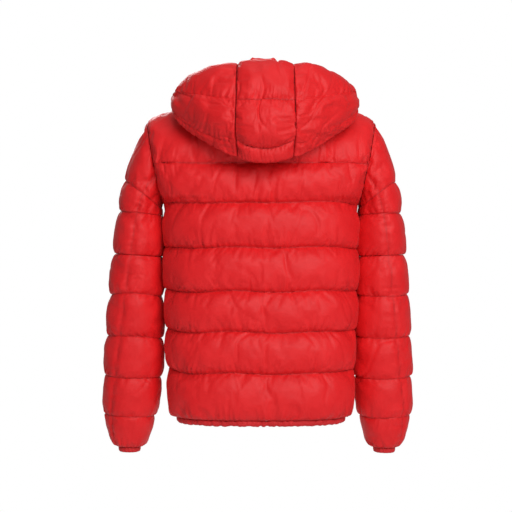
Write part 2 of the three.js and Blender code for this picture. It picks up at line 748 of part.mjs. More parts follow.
// The moulded box at the foot of the left tape that takes the right tape's pin.
function retainer(side, length) {
  const width = zipEdge - toothInner;
  const x = side * (toothInner + width / 2);
  return box(width, toothDepth * 1.4, retainerLength, x, 0, retainerLength / 2 - length);
}

function pocketFrame(side) {
  const top = bodyPoint(-1, side * pocketTop.share, pocketTop.z, 0);
  const bottom = bodyPoint(-1, side * pocketBottom.share, pocketBottom.z, 0);
  const up = top.clone().sub(bottom).normalize();
  const middleZ = (pocketTop.z + pocketBottom.z) / 2;
  const middleShare = (pocketTop.share + pocketBottom.share) / 2;
  const step = 0.02;
  const outer = bodyPoint(-1, side * (middleShare + step), middleZ, 0);
  const inner = bodyPoint(-1, side * (middleShare - step), middleZ, 0);
  const across = outer.sub(inner).multiplyScalar(side).normalize();
  const out = across.cross(up).normalize();
  return { top, up, out, length: top.distanceTo(bottom) };
}

function pocketTool({ top, up, out, length }) {
  const reach = 60;
  const tool = box(pocketSlotWidth, reach, length, 0, pocketSlotDepth - reach / 2, -length / 2);
  const across = up.clone().cross(out).normalize();
  const matrix = new THREE.Matrix4().makeBasis(across, out.clone().negate(), up).setPosition(top);
  return tool.applyMatrix4(matrix);
}

function pocketZip(word, { top, up, out, length }) {
  const frame = zipFrame(top, up, out);
  const tapeBack = pocketSlotDepth - GAP;
  const tapeFront = tapeBack - pocketTapeThickness;
  const tapeLength = length - GAP * 2;
  const tapeY = tapeBack - pocketTapeThickness / 2;
  const tape = box(pocketTapeWidth, pocketTapeThickness, tapeLength, 0, tapeY, -length / 2);
  const chainDepth = 1;
  const chain = box(pocketSliderWidth / 2, chainDepth, tapeLength - GAP, 0, tapeFront, -length / 2);
  piece(`pocket_zip_${word}`, join(tape, chain), zipRed, frame);
  const face = tapeFront - chainDepth;
  const rest = -GAP * 2 - pocketSliderLength / 2;
  piece(`pocket_slider_${word}`, pullMount(pocketSliderWidth, pocketSliderLength), zipMetal, frame)
    .position.set(0, face, rest);
  piece(`pocket_pull_${word}`, pull(pocketPullWidth, pocketPullLength), zipMetal, frame)
    .position.set(0, face - sliderPlate - pullStandoff, rest);
}

// ---- The jacket ----

const pockets = { left: pocketFrame(1), right: pocketFrame(-1) };
panel("back", 1, 0);
panel("front_left", -1, 1, pocketTool(pockets.left));
panel("front_right", -1, -1, pocketTool(pockets.right));
hemBinding();
lining("back", 1, 0);
lining("front_left", -1, 1);
lining("front_right", -1, -1);
collar();
hangLoop();
sleeve("left");
sleeve("right");
hood();
frontZip();
pocketZip("left", pockets.left);
pocketZip("right", pockets.right);

export default jacket;
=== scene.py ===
"""Hooded down ski jacket: padded panels, trims and finishes round the fixed frame.

Sizes are in millimetres in the classes and in metres in the meshes. The wearer faces -Y,
their left arm is on +X, and the origin is the middle of the neck opening.
"""
import logging
import math
from dataclasses import dataclass
from enum import Enum

import bpy
import numpy as np
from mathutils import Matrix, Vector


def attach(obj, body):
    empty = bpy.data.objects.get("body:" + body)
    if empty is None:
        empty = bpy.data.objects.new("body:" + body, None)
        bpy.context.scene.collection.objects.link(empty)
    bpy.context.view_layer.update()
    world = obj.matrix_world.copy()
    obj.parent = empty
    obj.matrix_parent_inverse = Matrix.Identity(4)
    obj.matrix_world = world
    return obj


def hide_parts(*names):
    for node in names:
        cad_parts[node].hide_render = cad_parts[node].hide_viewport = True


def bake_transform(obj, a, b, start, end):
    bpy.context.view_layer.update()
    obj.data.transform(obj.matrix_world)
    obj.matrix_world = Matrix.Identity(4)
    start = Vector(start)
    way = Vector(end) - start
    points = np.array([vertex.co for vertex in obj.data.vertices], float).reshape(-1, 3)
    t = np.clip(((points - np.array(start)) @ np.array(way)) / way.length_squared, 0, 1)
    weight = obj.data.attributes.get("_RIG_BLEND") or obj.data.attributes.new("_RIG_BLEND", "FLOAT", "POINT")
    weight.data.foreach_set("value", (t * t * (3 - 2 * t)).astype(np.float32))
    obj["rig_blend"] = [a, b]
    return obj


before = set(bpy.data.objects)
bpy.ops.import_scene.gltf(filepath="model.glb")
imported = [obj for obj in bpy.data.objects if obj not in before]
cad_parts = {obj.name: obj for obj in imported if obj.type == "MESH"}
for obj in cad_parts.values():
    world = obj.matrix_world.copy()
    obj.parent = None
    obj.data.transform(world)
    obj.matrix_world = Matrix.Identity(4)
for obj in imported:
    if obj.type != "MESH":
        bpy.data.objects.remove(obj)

logging.basicConfig(level=logging.INFO, format="%(message)s")
log = logging.getLogger("jacket")

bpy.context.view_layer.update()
MM = 0.001
GAP = 0.4
Array = np.ndarray


class Side(Enum):
    """The wearer's left or right."""

    LEFT = "left"
    RIGHT = "right"

    @property
    def sign(self) -> int:
        """Which way along X this side lies."""
        return 1 if self is Side.LEFT else -1


class Face(Enum):
    """The back or the front of the body."""

    BACK = 1
    FRONT = -1


class Body(Enum):
    """The bodies of the frame that soft pieces ride on."""

    JACKET = "jacket_body"
    HOOD = "hood"
    LEFT_UPPER = "sleeve_left_upper"
    LEFT_LOWER = "sleeve_left_lower"
    RIGHT_UPPER = "sleeve_right_upper"
    RIGHT_LOWER = "sleeve_right_lower"


# ---- Small sums ----


def mix(a: Array, b: Array, t: Array) -> Array:
    """Returns the value a share t of the way from a to b."""
    return a + (b - a) * t


def smooth(t: Array) -> Array:
    """Returns t eased between 0 and 1."""
    t = np.clip(t, 0, 1)
    return t * t * (3 - 2 * t)


def stack(x: Array, y: Array, z: Array) -> Array:
    """Returns points from their coordinates."""
    return np.stack(np.broadcast_arrays(x, y, z), axis=-1).astype(float)


@dataclass(frozen=True)
class Ripple:
    """Seeded smooth noise over a piece's own millimetres.

    Attributes:
        seed: which pattern.
        across: shortest distance from fold to fold along a seam.
        down: shortest distance from fold to fold away from a seam.
        waves: how many waves are added up.
    """

    seed: int
    across: float
    down: float
    waves: int = 26

    def at(self, u: Array, v: Array) -> Array:
        """Reads the noise.

        Args:
            u: distance along the seams.
            v: distance across them.

        Returns:
            Values whose spread is about 1.
        """
        rng = np.random.default_rng(self.seed)
        total = 0
        for _ in range(self.waves):
            along = rng.uniform(0.3, 1) * 2 * math.pi / self.across
            over = rng.uniform(-1, 1) * 2 * math.pi / self.down
            total = total + np.sin(along * u + over * v + rng.uniform(0, 2 * math.pi))
        return total / math.sqrt(self.waves / 2)


@dataclass(frozen=True)
class Quilting:
    """How fabric swells and puckers between two seams.

    Attributes:
        groove: how deep a seam sinks; not used.
        fullest: share of the channel's height where it stands highest.
        pucker: depth of the short folds at a seam.
        reach: how far from the seam they run.
        lump: height of the down's soft lumps.
        crease: depth of the long soft creases.
        flatness: how straight a channel's middle is, from 2 for round.
        seed: which pattern.
    """

    groove: float
    fullest: float = 0.6
    pucker: float = 4.6
    reach: float = 15.0
    lump: float = 0.8
    crease: float = 1.5
    flatness: float = 3.4
    seed: int = 1

    def swell(self, t: Array) -> Array:
        """Returns the share of full height at a share t of the way down a channel.

        Args:
            t: share of the way down the channel.

        Returns:
            0 at the seams and up to 1 between them.
        """
        power = math.log(0.5) / math.log(self.fullest)
        x = 2 * np.clip(t, 0, 1) ** power - 1
        return np.clip(1 - np.abs(x) ** self.flatness, 0, 1) ** 0.62

    def folds(self, u: Array, v: Array, above: Array, below: Array, index: Array) -> Array:
        """Adds up puckers, lumps and creases.

        Args:
            u: distance along the seams.
            v: distance down the piece.
            above: distance below the seam above.
            below: distance above the seam below.
            index: number of the channel.

        Returns:
            How far each point sinks, negative where it stands proud.
        """
        sink = np.zeros(np.shape(v))
        for number in range(int(np.max(index)) + 1):
            here = index == number
            for way, distance, strength in ((0, below, 1.0), (1, above, 0.45)):
                key = self.seed * 100 + number * 2 + way
                lean = Ripple(key + 7000, 160, 400).at(u, v) * 0.35
                narrow = Ripple(key, 12.5, 200).at(u + lean * distance, v * 0)
                patches = smooth(0.55 + 0.6 * Ripple(key + 3000, 70, 300).at(u, v * 0))
                valley = np.exp(-((narrow / 0.38) ** 2))
                ridge = np.clip(np.abs(narrow), 0, 1.6) * 0.35
                far = self.reach * (0.55 + 0.75 * patches)
                fade = np.exp(-((distance / far) ** 1.6)) * smooth(distance / 2.5)
                fold = strength * self.pucker * (0.35 + 0.65 * patches) * (valley - ridge)
                sink = sink + np.where(here, fold * fade, 0)
        long_folds = Ripple(self.seed + 500, 75, 110).at(u, v)
        creases = np.exp(-((long_folds / 0.22) ** 2)) * smooth(
            0.35 + 0.7 * Ripple(self.seed + 900, 180, 160).at(u, v)
        )
        lumps = Ripple(self.seed + 40, 60, 55).at(u, v) + 0.5 * Ripple(self.seed + 60, 28, 26).at(u, v)
        return sink + self.crease * creases - self.lump * lumps * 0.6


# ---- Meshes ----


class Maker:
    """Makes mesh objects at the origin with their place in the mesh."""

    @staticmethod
    def mesh(name: str, points: Array, quads: Array) -> bpy.types.Object:
        """Makes a smooth-shaded object.

        Args:
            name: the object's name.
            points: (n, 3) in metres.
            quads: (m, 4) corners.

        Returns:
            The object, linked to the scene.
        """
        mesh = bpy.data.meshes.new(name)
        mesh.from_pydata(points.tolist(), [], quads.tolist())
        mesh.validate()
        mesh.shade_smooth()
        made = bpy.data.objects.new(name, mesh)
        bpy.context.scene.collection.objects.link(made)
        return made

    @staticmethod
    def grid_quads(rows: int, columns: int, start: int, loop: bool) -> Array:
        """Returns the quads of a grid of points numbered from start.

        Args:
            rows: rows of the grid.
            columns: its columns.
            start: number of its first point.
            loop: whether the last column joins the first.

        Returns:
            (n, 4) corners.
        """
        i = np.arange(rows - 1)[:, None]
        j = np.arange(columns if loop else columns - 1)[None, :]
        k = (j + 1) % columns
        here, below = start + i * columns, start + (i + 1) * columns
        corners = [here + j, here + k, below + k, below + j]
        return np.stack(np.broadcast_arrays(*corners), axis=-1).reshape(-1, 4)

    @staticmethod
    def closed(name: str, outer: Array, inner: Array, u: Array, v: Array, seam: Array,
               loop: bool) -> bpy.types.Object:
        """Makes a closed padded piece from its outer and inner skins.

        Args:
            name: the object's name.
            outer: (rows, columns, 3) in millimetres.
            inner: the same for the side that faces the wearer.
            u: distance along the seams at each point.
            v: distance down at each point.
            seam: closeness to a seam at each point, from 0 to 1, which places the painted seam shade.
            loop: whether the last column joins the first.

        Returns:
            The object, with a cloth UV map and a seam attribute for the painted seam shade.
        """
        rows, columns = outer.shape[:2]
        count = rows * columns
        points = np.concatenate([outer.reshape(-1, 3), inner.reshape(-1, 3)]) * MM
        front = Maker.grid_quads(rows, columns, 0, loop)
        back = Maker.grid_quads(rows, columns, count, loop)[:, ::-1]
        walls = []
        j = np.arange(columns if loop else columns - 1)
        k = (j + 1) % columns
        last = (rows - 1) * columns
        walls.append(np.stack([j, j + count, k + count, k], axis=-1))
        walls.append(np.stack([last + k, last + k + count, last + j + count, last + j], axis=-1))
        if not loop:
            i = np.arange(rows - 1) * columns
            n = i + columns
            end = columns - 1
            walls.append(np.stack([i, n, n + count, i + count], axis=-1))
            walls.append(np.stack([n + end, i + end, i + end + count, n + end + count], axis=-1))
        quads = np.concatenate([front, back, *walls])
        a, b, c, d = (points[quads[:, n]] for n in range(4))
        volume = np.sum(a * np.cross(b, c)) + np.sum(a * np.cross(c, d))
        if volume < 0:
            quads = quads[:, ::-1]
        made = Maker.mesh(name, points, quads)
        both_skins = (np.tile(values.reshape(-1), 2) for values in (u, v, seam))
        Maker.attributes(made, *both_skins)
        return made

    @staticmethod
    def attributes(made: bpy.types.Object, u: Array, v: Array, seam: Array) -> None:
        """Writes the cloth UV map, in metres, and the seam attribute, which places the painted seam shade.

        Args:
            made: the object.
            u: distance along the seams at each point.
            v: distance down at each point.
            seam: closeness to a seam at each point, which places the painted seam shade.
        """
        mesh = made.data
        layer = mesh.uv_layers.new(name="cloth")
        corners = np.empty(len(mesh.loops), dtype=np.int32)
        mesh.loops.foreach_get("vertex_index", corners)
        flat = np.stack([u[corners], v[corners]], axis=-1) * MM
        layer.data.foreach_set("uv", flat.astype(np.float32).reshape(-1))
        attribute = mesh.attributes.new("seam", "FLOAT", "POINT")
        attribute.data.foreach_set("value", seam.astype(np.float32))


@dataclass(frozen=True)
class Inflation:
    """Air pressure on a padded skin that is held along its seams.

    Attributes:
        pressure: force of the filling.
        frames: length of the simulation.
        spare: share of extra cloth that the filling takes up.
        cap: the most that a point may move, in millimetres.
    """

    pressure: float = 4.0
    frames: int = 20
    spare: float = 0.035
    cap: float = 5.0

    def apply(self, outer: Array, inner: Array, pinned: Array, loop: bool) -> Array:
        """Swells the skin by simulation.

        Args:
            outer: (rows, columns, 3) in millimetres.
            inner: the skin behind it, which tells the side the air pushes to.
            pinned: weight of the hold on each point.
            loop: whether the last column joins the first.

        Returns:
            The swollen skin.
        """
        rows, columns = outer.shape[:2]
        quads = Maker.grid_quads(rows, columns, 0, loop)
        turned = np.cross(outer[:-1, 1:] - outer[:-1, :-1], outer[1:, :-1] - outer[:-1, :-1])
        if np.sum(turned * (outer - inner)[:-1, :-1]) < 0:
            quads = quads[:, ::-1]
        skin = Maker.mesh("skin", outer.reshape(-1, 3) * MM, quads)
        group = skin.vertex_groups.new(name="held")
        held = pinned.reshape(-1)
        for weight in np.unique(np.round(held, 2)):
            chosen = np.nonzero(np.round(held, 2) == weight)[0]
            group.add(chosen.tolist(), float(weight), "REPLACE")
        cloth = skin.modifiers.new("air", "CLOTH")
        settings = cloth.settings
        settings.quality = 4
        settings.mass = 0.15
        settings.tension_stiffness = 12
        settings.compression_stiffness = 12
        settings.shear_stiffness = 4
        settings.bending_stiffness = 0.05
        settings.use_pressure = True
        settings.uniform_pressure_force = self.pressure
        settings.vertex_group_mass = "held"
        settings.shrink_min = -self.spare
        settings.effector_weights.gravity = 0
        cloth.collision_settings.use_collision = False
        cloth.point_cache.frame_start = 1
        cloth.point_cache.frame_end = self.frames
        scene = bpy.context.scene
        for number in range(1, self.frames + 1):
            scene.frame_set(number)
        graph = bpy.context.evaluated_depsgraph_get()
        after = np.empty(rows * columns * 3, dtype=np.float32)
        skin.evaluated_get(graph).data.vertices.foreach_get("co", after)
        scene.frame_set(1)
        swollen = after.reshape(rows, columns, 3).astype(float) / MM
        moved = swollen - outer
        size = np.linalg.norm(moved, axis=-1, keepdims=True)
        moved = moved * np.minimum(1, self.cap / np.maximum(size, 1e-6))
        mesh = skin.data
        bpy.data.objects.remove(skin)
        bpy.data.meshes.remove(mesh)
        log.info("  simulated, mean move %.2f mm", float(size.mean()))
        return outer + moved


# ---- The pattern the jacket is cut to ----


@dataclass(frozen=True)
class Pattern:
    """The jacket's body: its outline, its armholes and its neck.

    Attributes:
        chest_half_width: half the chest's width.
        hem_half_width: half the hem's width.
        chest_z: height below which the body narrows.
        back_depth: depth of the back at the chest.
        hem_back_depth: the same at the hem.
        squareness: how square the body's section is, from 2 for round.
        padding: thickness of shell, down and backing.
        groove: how deep a seam sinks.
        yoke_z: height of the yoke seam.
        heights: heights of the channels, from the top.
        hem_height: height of the hem binding.
        hem_thickness: its thickness.
        neck_half_width: half the neck opening's width.
        neck_back_depth: depth of the neck opening at the back.
        neck_side_rise: height of its sides above the back.
        neck_front_drop: depth of its front below the back.
        front_top_depth: depth of the front at its top.
        front_top_z: height of the front's top.
        front_slope: how much deeper the front gets on the way down.
        zip_half: half the gap between the fronts.
        tape_inset: distance of the zip tapes below the front's face.
        tip: X and Z of the shoulder tip.
        pit: X and Z of the armpit.
        armhole_half_depth: half the armhole's depth.
        shoulder_rise: how much the shoulder seam bows up.
        underarm_blend: height over which the side leaves the armhole.
        neck_share: share of the yoke's upper edge that runs round the neck.
        neck_ease: clearance round the neck.
    """

    chest_half_width: float = 197.5
    hem_half_width: float = 185.0
    chest_z: float = -330.0
    back_depth: float = 128.0
    hem_back_depth: float = 121.0
    squareness: float = 3.0
    padding: float = 24.0
    groove: float = 12.0
    yoke_z: float = -146.0
    heights: tuple[float, ...] = (77, 88, 86, 80, 81, 93)
    hem_height: float = 12.0
    hem_thickness: float = 7.0
    neck_half_width: float = 84.0
    neck_back_depth: float = 88.0
    neck_side_rise: float = 5.0
    neck_front_drop: float = 50.0
    front_top_depth: float = 106.0
    front_top_z: float = 20.0
    front_slope: float = 0.045
    zip_half: float = 6.0
    tape_inset: float = 14.0
    tip: tuple[float, float] = (232.0, -50.0)
    pit: tuple[float, float] = (199.0, -219.0)
    armhole_half_depth: float = 80.0
    shoulder_rise: float = 9.0
    underarm_blend: float = 26.0
    neck_share: float = 0.42
    neck_ease: float = 4.0

    @property
    def seams(self) -> Array:
        """Heights of the quilting seams, from the yoke seam down."""
        return self.yoke_z - np.concatenate([[0], np.cumsum(self.heights)])

    @property
    def hem_z(self) -> float:
        """Height of the hem's lower edge."""
        return float(self.seams[-1]) - self.hem_height

    @property
    def armhole(self) -> tuple[Array, Array, Array, float]:
        """The armhole's centre, its up and out directions in X and Z, and its half height."""
        tip, pit = np.array(self.tip), np.array(self.pit)
        up = (tip - pit) / np.linalg.norm(tip - pit)
        return (tip + pit) / 2, up, np.array([up[1], -up[0]]), float(np.linalg.norm(tip - pit)) / 2

    def front_depth(self, z: Array) -> Array:
        """Returns the depth of the front's centre line at a height."""
        return self.front_top_depth + self.front_slope * (self.front_top_z - z)

    def back_depth_at(self, z: Array) -> Array:
        """Returns the depth of the back's centre line at a height."""
        fall = smooth((self.chest_z - z) / (self.chest_z - self.hem_z))
        return mix(self.back_depth, self.hem_back_depth, fall)

    def half_width(self, z: Array) -> Array:
        """Returns half the body's width at a height below the armhole."""
        fall = np.maximum(0, (self.chest_z - z) / (self.chest_z - self.hem_z)) ** 1.4
        return mix(self.chest_half_width, self.hem_half_width, fall)

    def ring(self, turn: Array, inset: Array, clearance: float = -GAP) -> tuple[Array, Array, Array]:
        """Returns X, Y and Z of the armhole ring, from the shoulder tip to the armpit.

        Args:
            turn: 0 at the shoulder tip and pi at the armpit.
            inset: distance inside the ring.
            clearance: distance outwards from the body.

        Returns:
            X, Y and Z in millimetres.
        """
        centre, up, out, half = self.armhole
        reach = (half - inset) * np.cos(turn)
        x = centre[0] + up[0] * reach + out[0] * clearance
        z = centre[1] + up[1] * reach + out[1] * clearance
        return x, (self.armhole_half_depth - inset) * np.sin(turn), z

    def edge(self, z: Array, inset: Array) -> tuple[Array, Array]:
        """Returns X and Y of the body's side edge at a height.

        Args:
            z: height.
            inset: distance below the outer face.

        Returns:
            X and Y in millimetres.
        """
        centre, up, _, half = self.armhole
        lift = (z - centre[1]) / up[1] / (half - inset)
        x_ring, y_ring, _ = self.ring(np.arccos(np.clip(lift, -1, 1)), inset)
        x_low, _, z_low = self.ring(np.pi, inset)
        out = smooth(1 - (z_low - z) / self.underarm_blend)
        x_side = mix(self.half_width(z) - inset, x_low, out)
        on_ring = lift > -1
        return np.where(on_ring, x_ring, x_side), np.where(on_ring, y_ring, 0)

    def body(self, face: Face, share: Array, z: Array, inset: Array) -> Array:
        """Returns points of the body.

        Args:
            face: back or front.
            share: from the wearer's right (-1) to their left (1).
            z: height.
            inset: distance below the outer face.

        Returns:
            Points in millimetres.
        """
        x_edge, y_edge = self.edge(z, inset)
        full = self.back_depth_at(z) if face is Face.BACK else self.front_depth(z)
        turn = np.abs(share) * np.pi / 2
        power = 2 / self.squareness
        x = np.sign(share) * x_edge * np.sin(turn) ** power
        y = y_edge + (full - inset - y_edge) * np.maximum(0, np.cos(turn)) ** power
        return stack(x, face.value * y, z)

    def front_share(self, z: Array) -> Array:
        """Returns the share of a front at which the panel begins beside the zip."""
        x_edge, _ = self.edge(z, np.zeros(np.shape(z)))
        return np.arcsin((self.zip_half / x_edge) ** (self.squareness / 2)) * 2 / np.pi

    def neck_height(self, turn: Array) -> Array:
        """Returns the neck edge's height; turn runs from the back to the front."""
        drop = np.where(np.cos(turn) > 0, self.neck_side_rise, self.neck_side_rise + self.neck_front_drop)
        return self.neck_side_rise - drop * np.cos(turn) ** 2

    def neck(self, turn: Array, out: float) -> Array:
        """Returns points of the neck edge on the wearer's left.

        Args:
            turn: 0 at the back and pi at the front.
            out: distance outside the neck edge.

        Returns:
            Points in millimetres.
        """
        front = self.front_depth(-self.neck_front_drop) - self.tape_inset / 2
        depth = np.where(np.cos(turn) > 0, self.neck_back_depth, front)
        x = (self.neck_half_width + out) * np.sin(turn)
        return stack(x, (depth + out) * np.cos(turn), self.neck_height(turn))

    def yoke_top(self, face: Face, across: Array, inset: Array) -> Array:
        """Returns the yoke's upper edge, round the neck and out along the shoulder.

        Args:
            face: back or front.
            across: share from the centre line to the armhole.
            inset: distance below the outer face.

        Returns:
            Points in millimetres.
        """
        turn = np.clip(across / self.neck_share, 0, 1) * np.pi / 2
        round_neck = self.neck(turn if face is Face.BACK else np.pi - turn, self.neck_ease)
        along = np.clip((across - self.neck_share) / (1 - self.neck_share), 0, 1)
        start = self.neck(np.full(np.shape(across), np.pi / 2), self.neck_ease)
        down = stack(0 * inset, 0 * inset, inset)
        end = stack(*self.ring(np.zeros(np.shape(across)), inset))
        shoulder = mix(start - down, end, along[..., None])
        shoulder[..., 2] += self.shoulder_rise * np.sin(along * np.pi)
        return np.where((across < self.neck_share)[..., None], round_neck - down, shoulder)

    def yoke(self, face: Face, share: Array, rise: Array, inset: Array) -> Array:
        """Returns points of a yoke, between its seam (rise 0) and the shoulder (rise 1).

        Args:
            face: back or front.
            share: from the wearer's right (-1) to their left (1).
            rise: 0 at the yoke seam and 1 at the shoulder.
            inset: distance below the outer face.

        Returns:
            Points in millimetres.
        """
        share, rise, inset = (np.array(a, float) for a in np.broadcast_arrays(share, rise, inset))
        across, sign = np.abs(share), np.where(share < 0, -1.0, 1.0)
        base = np.full(np.shape(share), self.yoke_z)
        low = self.body(face, across, base, inset)
        low_middle = self.body(face, 0 * across, base, inset)
        low_edge = self.body(face, 0 * across + 1, base, inset)
        high = self.yoke_top(face, across, inset)
        high_middle = self.yoke_top(face, 0 * across, inset)
        high_edge = self.yoke_top(face, 0 * across + 1, inset)
        centre, up, _, half = self.armhole
        lift = (self.yoke_z - centre[1]) / up[1] / (half - inset)
        x_e, y_e, z_e = self.ring(np.arccos(lift) * (1 - rise), inset)
        edge = stack(x_e, face.value * y_e, z_e)
        if face is Face.BACK:
            bow = np.maximum(0, np.cos(rise * np.pi / 2)) ** 0.8
        else:
            bow = 1 - rise
        y_mid = mix(high_middle[..., 1], low_middle[..., 1], bow)
        z_mid = mix(low_middle[..., 2], high_middle[..., 2], rise)
        middle = stack(0 * y_mid, y_mid, z_mid)
        r, a = rise[..., None], across[..., None]
        point = low * (1 - r) + high * r + middle * (1 - a) + edge * a
        point = point - low_middle * (1 - a) * (1 - r) - low_edge * a * (1 - r)
        point = point - high_middle * (1 - a) * r - high_edge * a * r
        point[..., 0] *= sign
        point[..., 1] += face.value * GAP * rise
        return point


# ---- Finishes ----


def node(tree: bpy.types.NodeTree, kind: str, **values: object) -> bpy.types.Node:
    """Adds a shader node.

    Args:
        tree: the material's node tree.
        kind: the node's type.
        values: its properties.

    Returns:
        The node.
    """
    made = tree.nodes.new(kind)
    for name, value in values.items():
        setattr(made, name, value)
    return made


@dataclass(frozen=True)
class Nylon:
    """Downproof woven shell fabric.

    Attributes:
        name: the material's name.
        colour: the cloth in full light.
        shade: a darker tone of the cloth, mixed in over soft random clouds.
        seam: painted shade of the cloth in the seam grooves.
        roughness: how matt it is.
        sheen: how much its fibres catch the light.
        weave: distance from thread to thread, in metres.
        crinkle: height of the fine crinkles, in metres.
    """

    name: str
    colour: tuple[float, float, float]
    shade: tuple[float, float, float]
    seam: tuple[float, float, float]
    roughness: float = 0.5
    sheen: float = 0.06
    weave: float = 0.0009
    crinkle: float = 0.0009

    def material(self) -> bpy.types.Material:
        """Builds the material from procedural nodes."""
        made = bpy.data.materials.new(self.name)
        made.use_nodes = True
        tree = made.node_tree
        tree.nodes.clear()
        output = node(tree, "ShaderNodeOutputMaterial")
        shader = node(tree, "ShaderNodeBsdfPrincipled")
        tree.links.new(shader.outputs["BSDF"], output.inputs["Surface"])
        place = node(tree, "ShaderNodeTexCoord")
        clouds = self.noise(tree, place, 26.0, 4.0)
        fine = self.noise(tree, place, 420.0, 3.0)
        crinkles = self.noise(tree, place, 95.0, 5.0)
        blotch = node(tree, "ShaderNodeMapRange")
        blotch.inputs["From Min"].default_value = 0.35
        blotch.inputs["From Max"].default_value = 0.7
        tree.links.new(clouds.outputs["Fac"], blotch.inputs["Value"])
        cloth = node(tree, "ShaderNodeMix", data_type="RGBA")
        cloth.inputs["A"].default_value = (*self.colour, 1)
        cloth.inputs["B"].default_value = (*self.shade, 1)
        tree.links.new(blotch.outputs["Result"], cloth.inputs["Factor"])
        threads = self.threads(tree, place)
        speckle = node(tree, "ShaderNodeMix", data_type="RGBA", blend_type="MULTIPLY")
        speckle.inputs["Factor"].default_value = 0.1
        tree.links.new(cloth.outputs["Result"], speckle.inputs["A"])
        tree.links.new(threads.outputs["Value"], speckle.inputs["B"])
        # Painted shade: the colour is mixed towards the darker seam colour along the seams, where the grooves
        # fall in shade.
        seam_shade_mask = node(tree, "ShaderNodeAttribute", attribute_name="seam")
        seam_shade_mix = node(tree, "ShaderNodeMix", data_type="RGBA")
        seam_shade_mix.inputs["B"].default_value = (*self.seam, 1)
        tree.links.new(seam_shade_mask.outputs["Fac"], seam_shade_mix.inputs["Factor"])
        tree.links.new(speckle.outputs["Result"], seam_shade_mix.inputs["A"])
        tree.links.new(seam_shade_mix.outputs["Result"], shader.inputs["Base Color"])
        matt = node(tree, "ShaderNodeMapRange")
        matt.inputs["To Min"].default_value = self.roughness - 0.07
        matt.inputs["To Max"].default_value = self.roughness + 0.09
        tree.links.new(fine.outputs["Fac"], matt.inputs["Value"])
        tree.links.new(matt.outputs["Result"], shader.inputs["Roughness"])
        weave = node(tree, "ShaderNodeBump")
        weave.inputs["Strength"].default_value = 0.35
        weave.inputs["Distance"].default_value = self.weave * 0.12
        tree.links.new(threads.outputs["Value"], weave.inputs["Height"])
        crush = node(tree, "ShaderNodeBump")
        crush.inputs["Strength"].default_value = 0.75
        crush.inputs["Distance"].default_value = self.crinkle
        tree.links.new(crinkles.outputs["Fac"], crush.inputs["Height"])
        tree.links.new(weave.outputs["Normal"], crush.inputs["Normal"])
        tree.links.new(crush.outputs["Normal"], shader.inputs["Normal"])
        shader.inputs["Sheen Weight"].default_value = self.sheen
        shader.inputs["Sheen Roughness"].default_value = 0.4
        shader.inputs["Sheen Tint"].default_value = (1.0, 0.55, 0.55, 1)
        shader.inputs["Specular IOR Level"].default_value = 0.3
        return made

    @staticmethod
    def noise(tree: bpy.types.NodeTree, place: bpy.types.Node, scale: float, detail: float) -> bpy.types.Node:
        """Adds noise on the object's own coordinates.

        Args:
            tree: the material's node tree.
            place: its texture coordinates.
            scale: how fine the noise is.
            detail: how many finer layers it has.

        Returns:
            The noise's node.
        """
        made = node(tree, "ShaderNodeTexNoise")
        made.inputs["Scale"].default_value = scale
        made.inputs["Detail"].default_value = detail
        tree.links.new(place.outputs["Object"], made.inputs["Vector"])
        return made

    def threads(self, tree: bpy.types.NodeTree, place: bpy.types.Node) -> bpy.types.Node:
        """Adds the weave's crossing threads on the cloth's own map.

        Args:
            tree: the material's node tree.
            place: its texture coordinates.

        Returns:
            The node that adds both directions up.
        """
        total = node(tree, "ShaderNodeMath", operation="ADD")
        for number, way in enumerate(("X", "Y")):
            wave = node(tree, "ShaderNodeTexWave", bands_direction=way)
            wave.inputs["Scale"].default_value = 2 * math.pi / (20 * self.weave)
            wave.inputs["Distortion"].default_value = 0.4
            tree.links.new(place.outputs["UV"], wave.inputs["Vector"])
            tree.links.new(wave.outputs["Fac"], total.inputs[number])
        return total


@dataclass(frozen=True)
class Metal:
    """Brushed or moulded zip hardware.

    Attributes:
        name: the material's name.
        colour: its colour.
        metallic: 1 for metal, 0 for moulded plastic.
        roughness: how matt it is.
    """

    name: str
    colour: tuple[float, float, float]
    metallic: float = 1.0
    roughness: float = 0.32

    def material(self) -> bpy.types.Material:
        """Builds the material from procedural nodes."""
        made = bpy.data.materials.new(self.name)
        made.use_nodes = True
        tree = made.node_tree
        shader = tree.nodes["Principled BSDF"]
        place = node(tree, "ShaderNodeTexCoord")
        grain = Nylon.noise(tree, place, 700.0, 4.0)
        tint = node(tree, "ShaderNodeMix", data_type="RGBA")
        tint.inputs["A"].default_value = (*self.colour, 1)
        tint.inputs["B"].default_value = (*(c * 0.72 for c in self.colour), 1)
        tree.links.new(grain.outputs["Fac"], tint.inputs["Factor"])
        tree.links.new(tint.outputs["Result"], shader.inputs["Base Color"])
        worn = node(tree, "ShaderNodeMapRange")
        worn.inputs["To Min"].default_value = self.roughness - 0.1
        worn.inputs["To Max"].default_value = self.roughness + 0.14
        tree.links.new(grain.outputs["Fac"], worn.inputs["Value"])
        tree.links.new(worn.outputs["Result"], shader.inputs["Roughness"])
        bump = node(tree, "ShaderNodeBump")
        bump.inputs["Strength"].default_value = 0.25
        bump.inputs["Distance"].default_value = 0.0001
        tree.links.new(grain.outputs["Fac"], bump.inputs["Height"])
        tree.links.new(bump.outputs["Normal"], shader.inputs["Normal"])
        shader.inputs["Metallic"].default_value = self.metallic
        return made


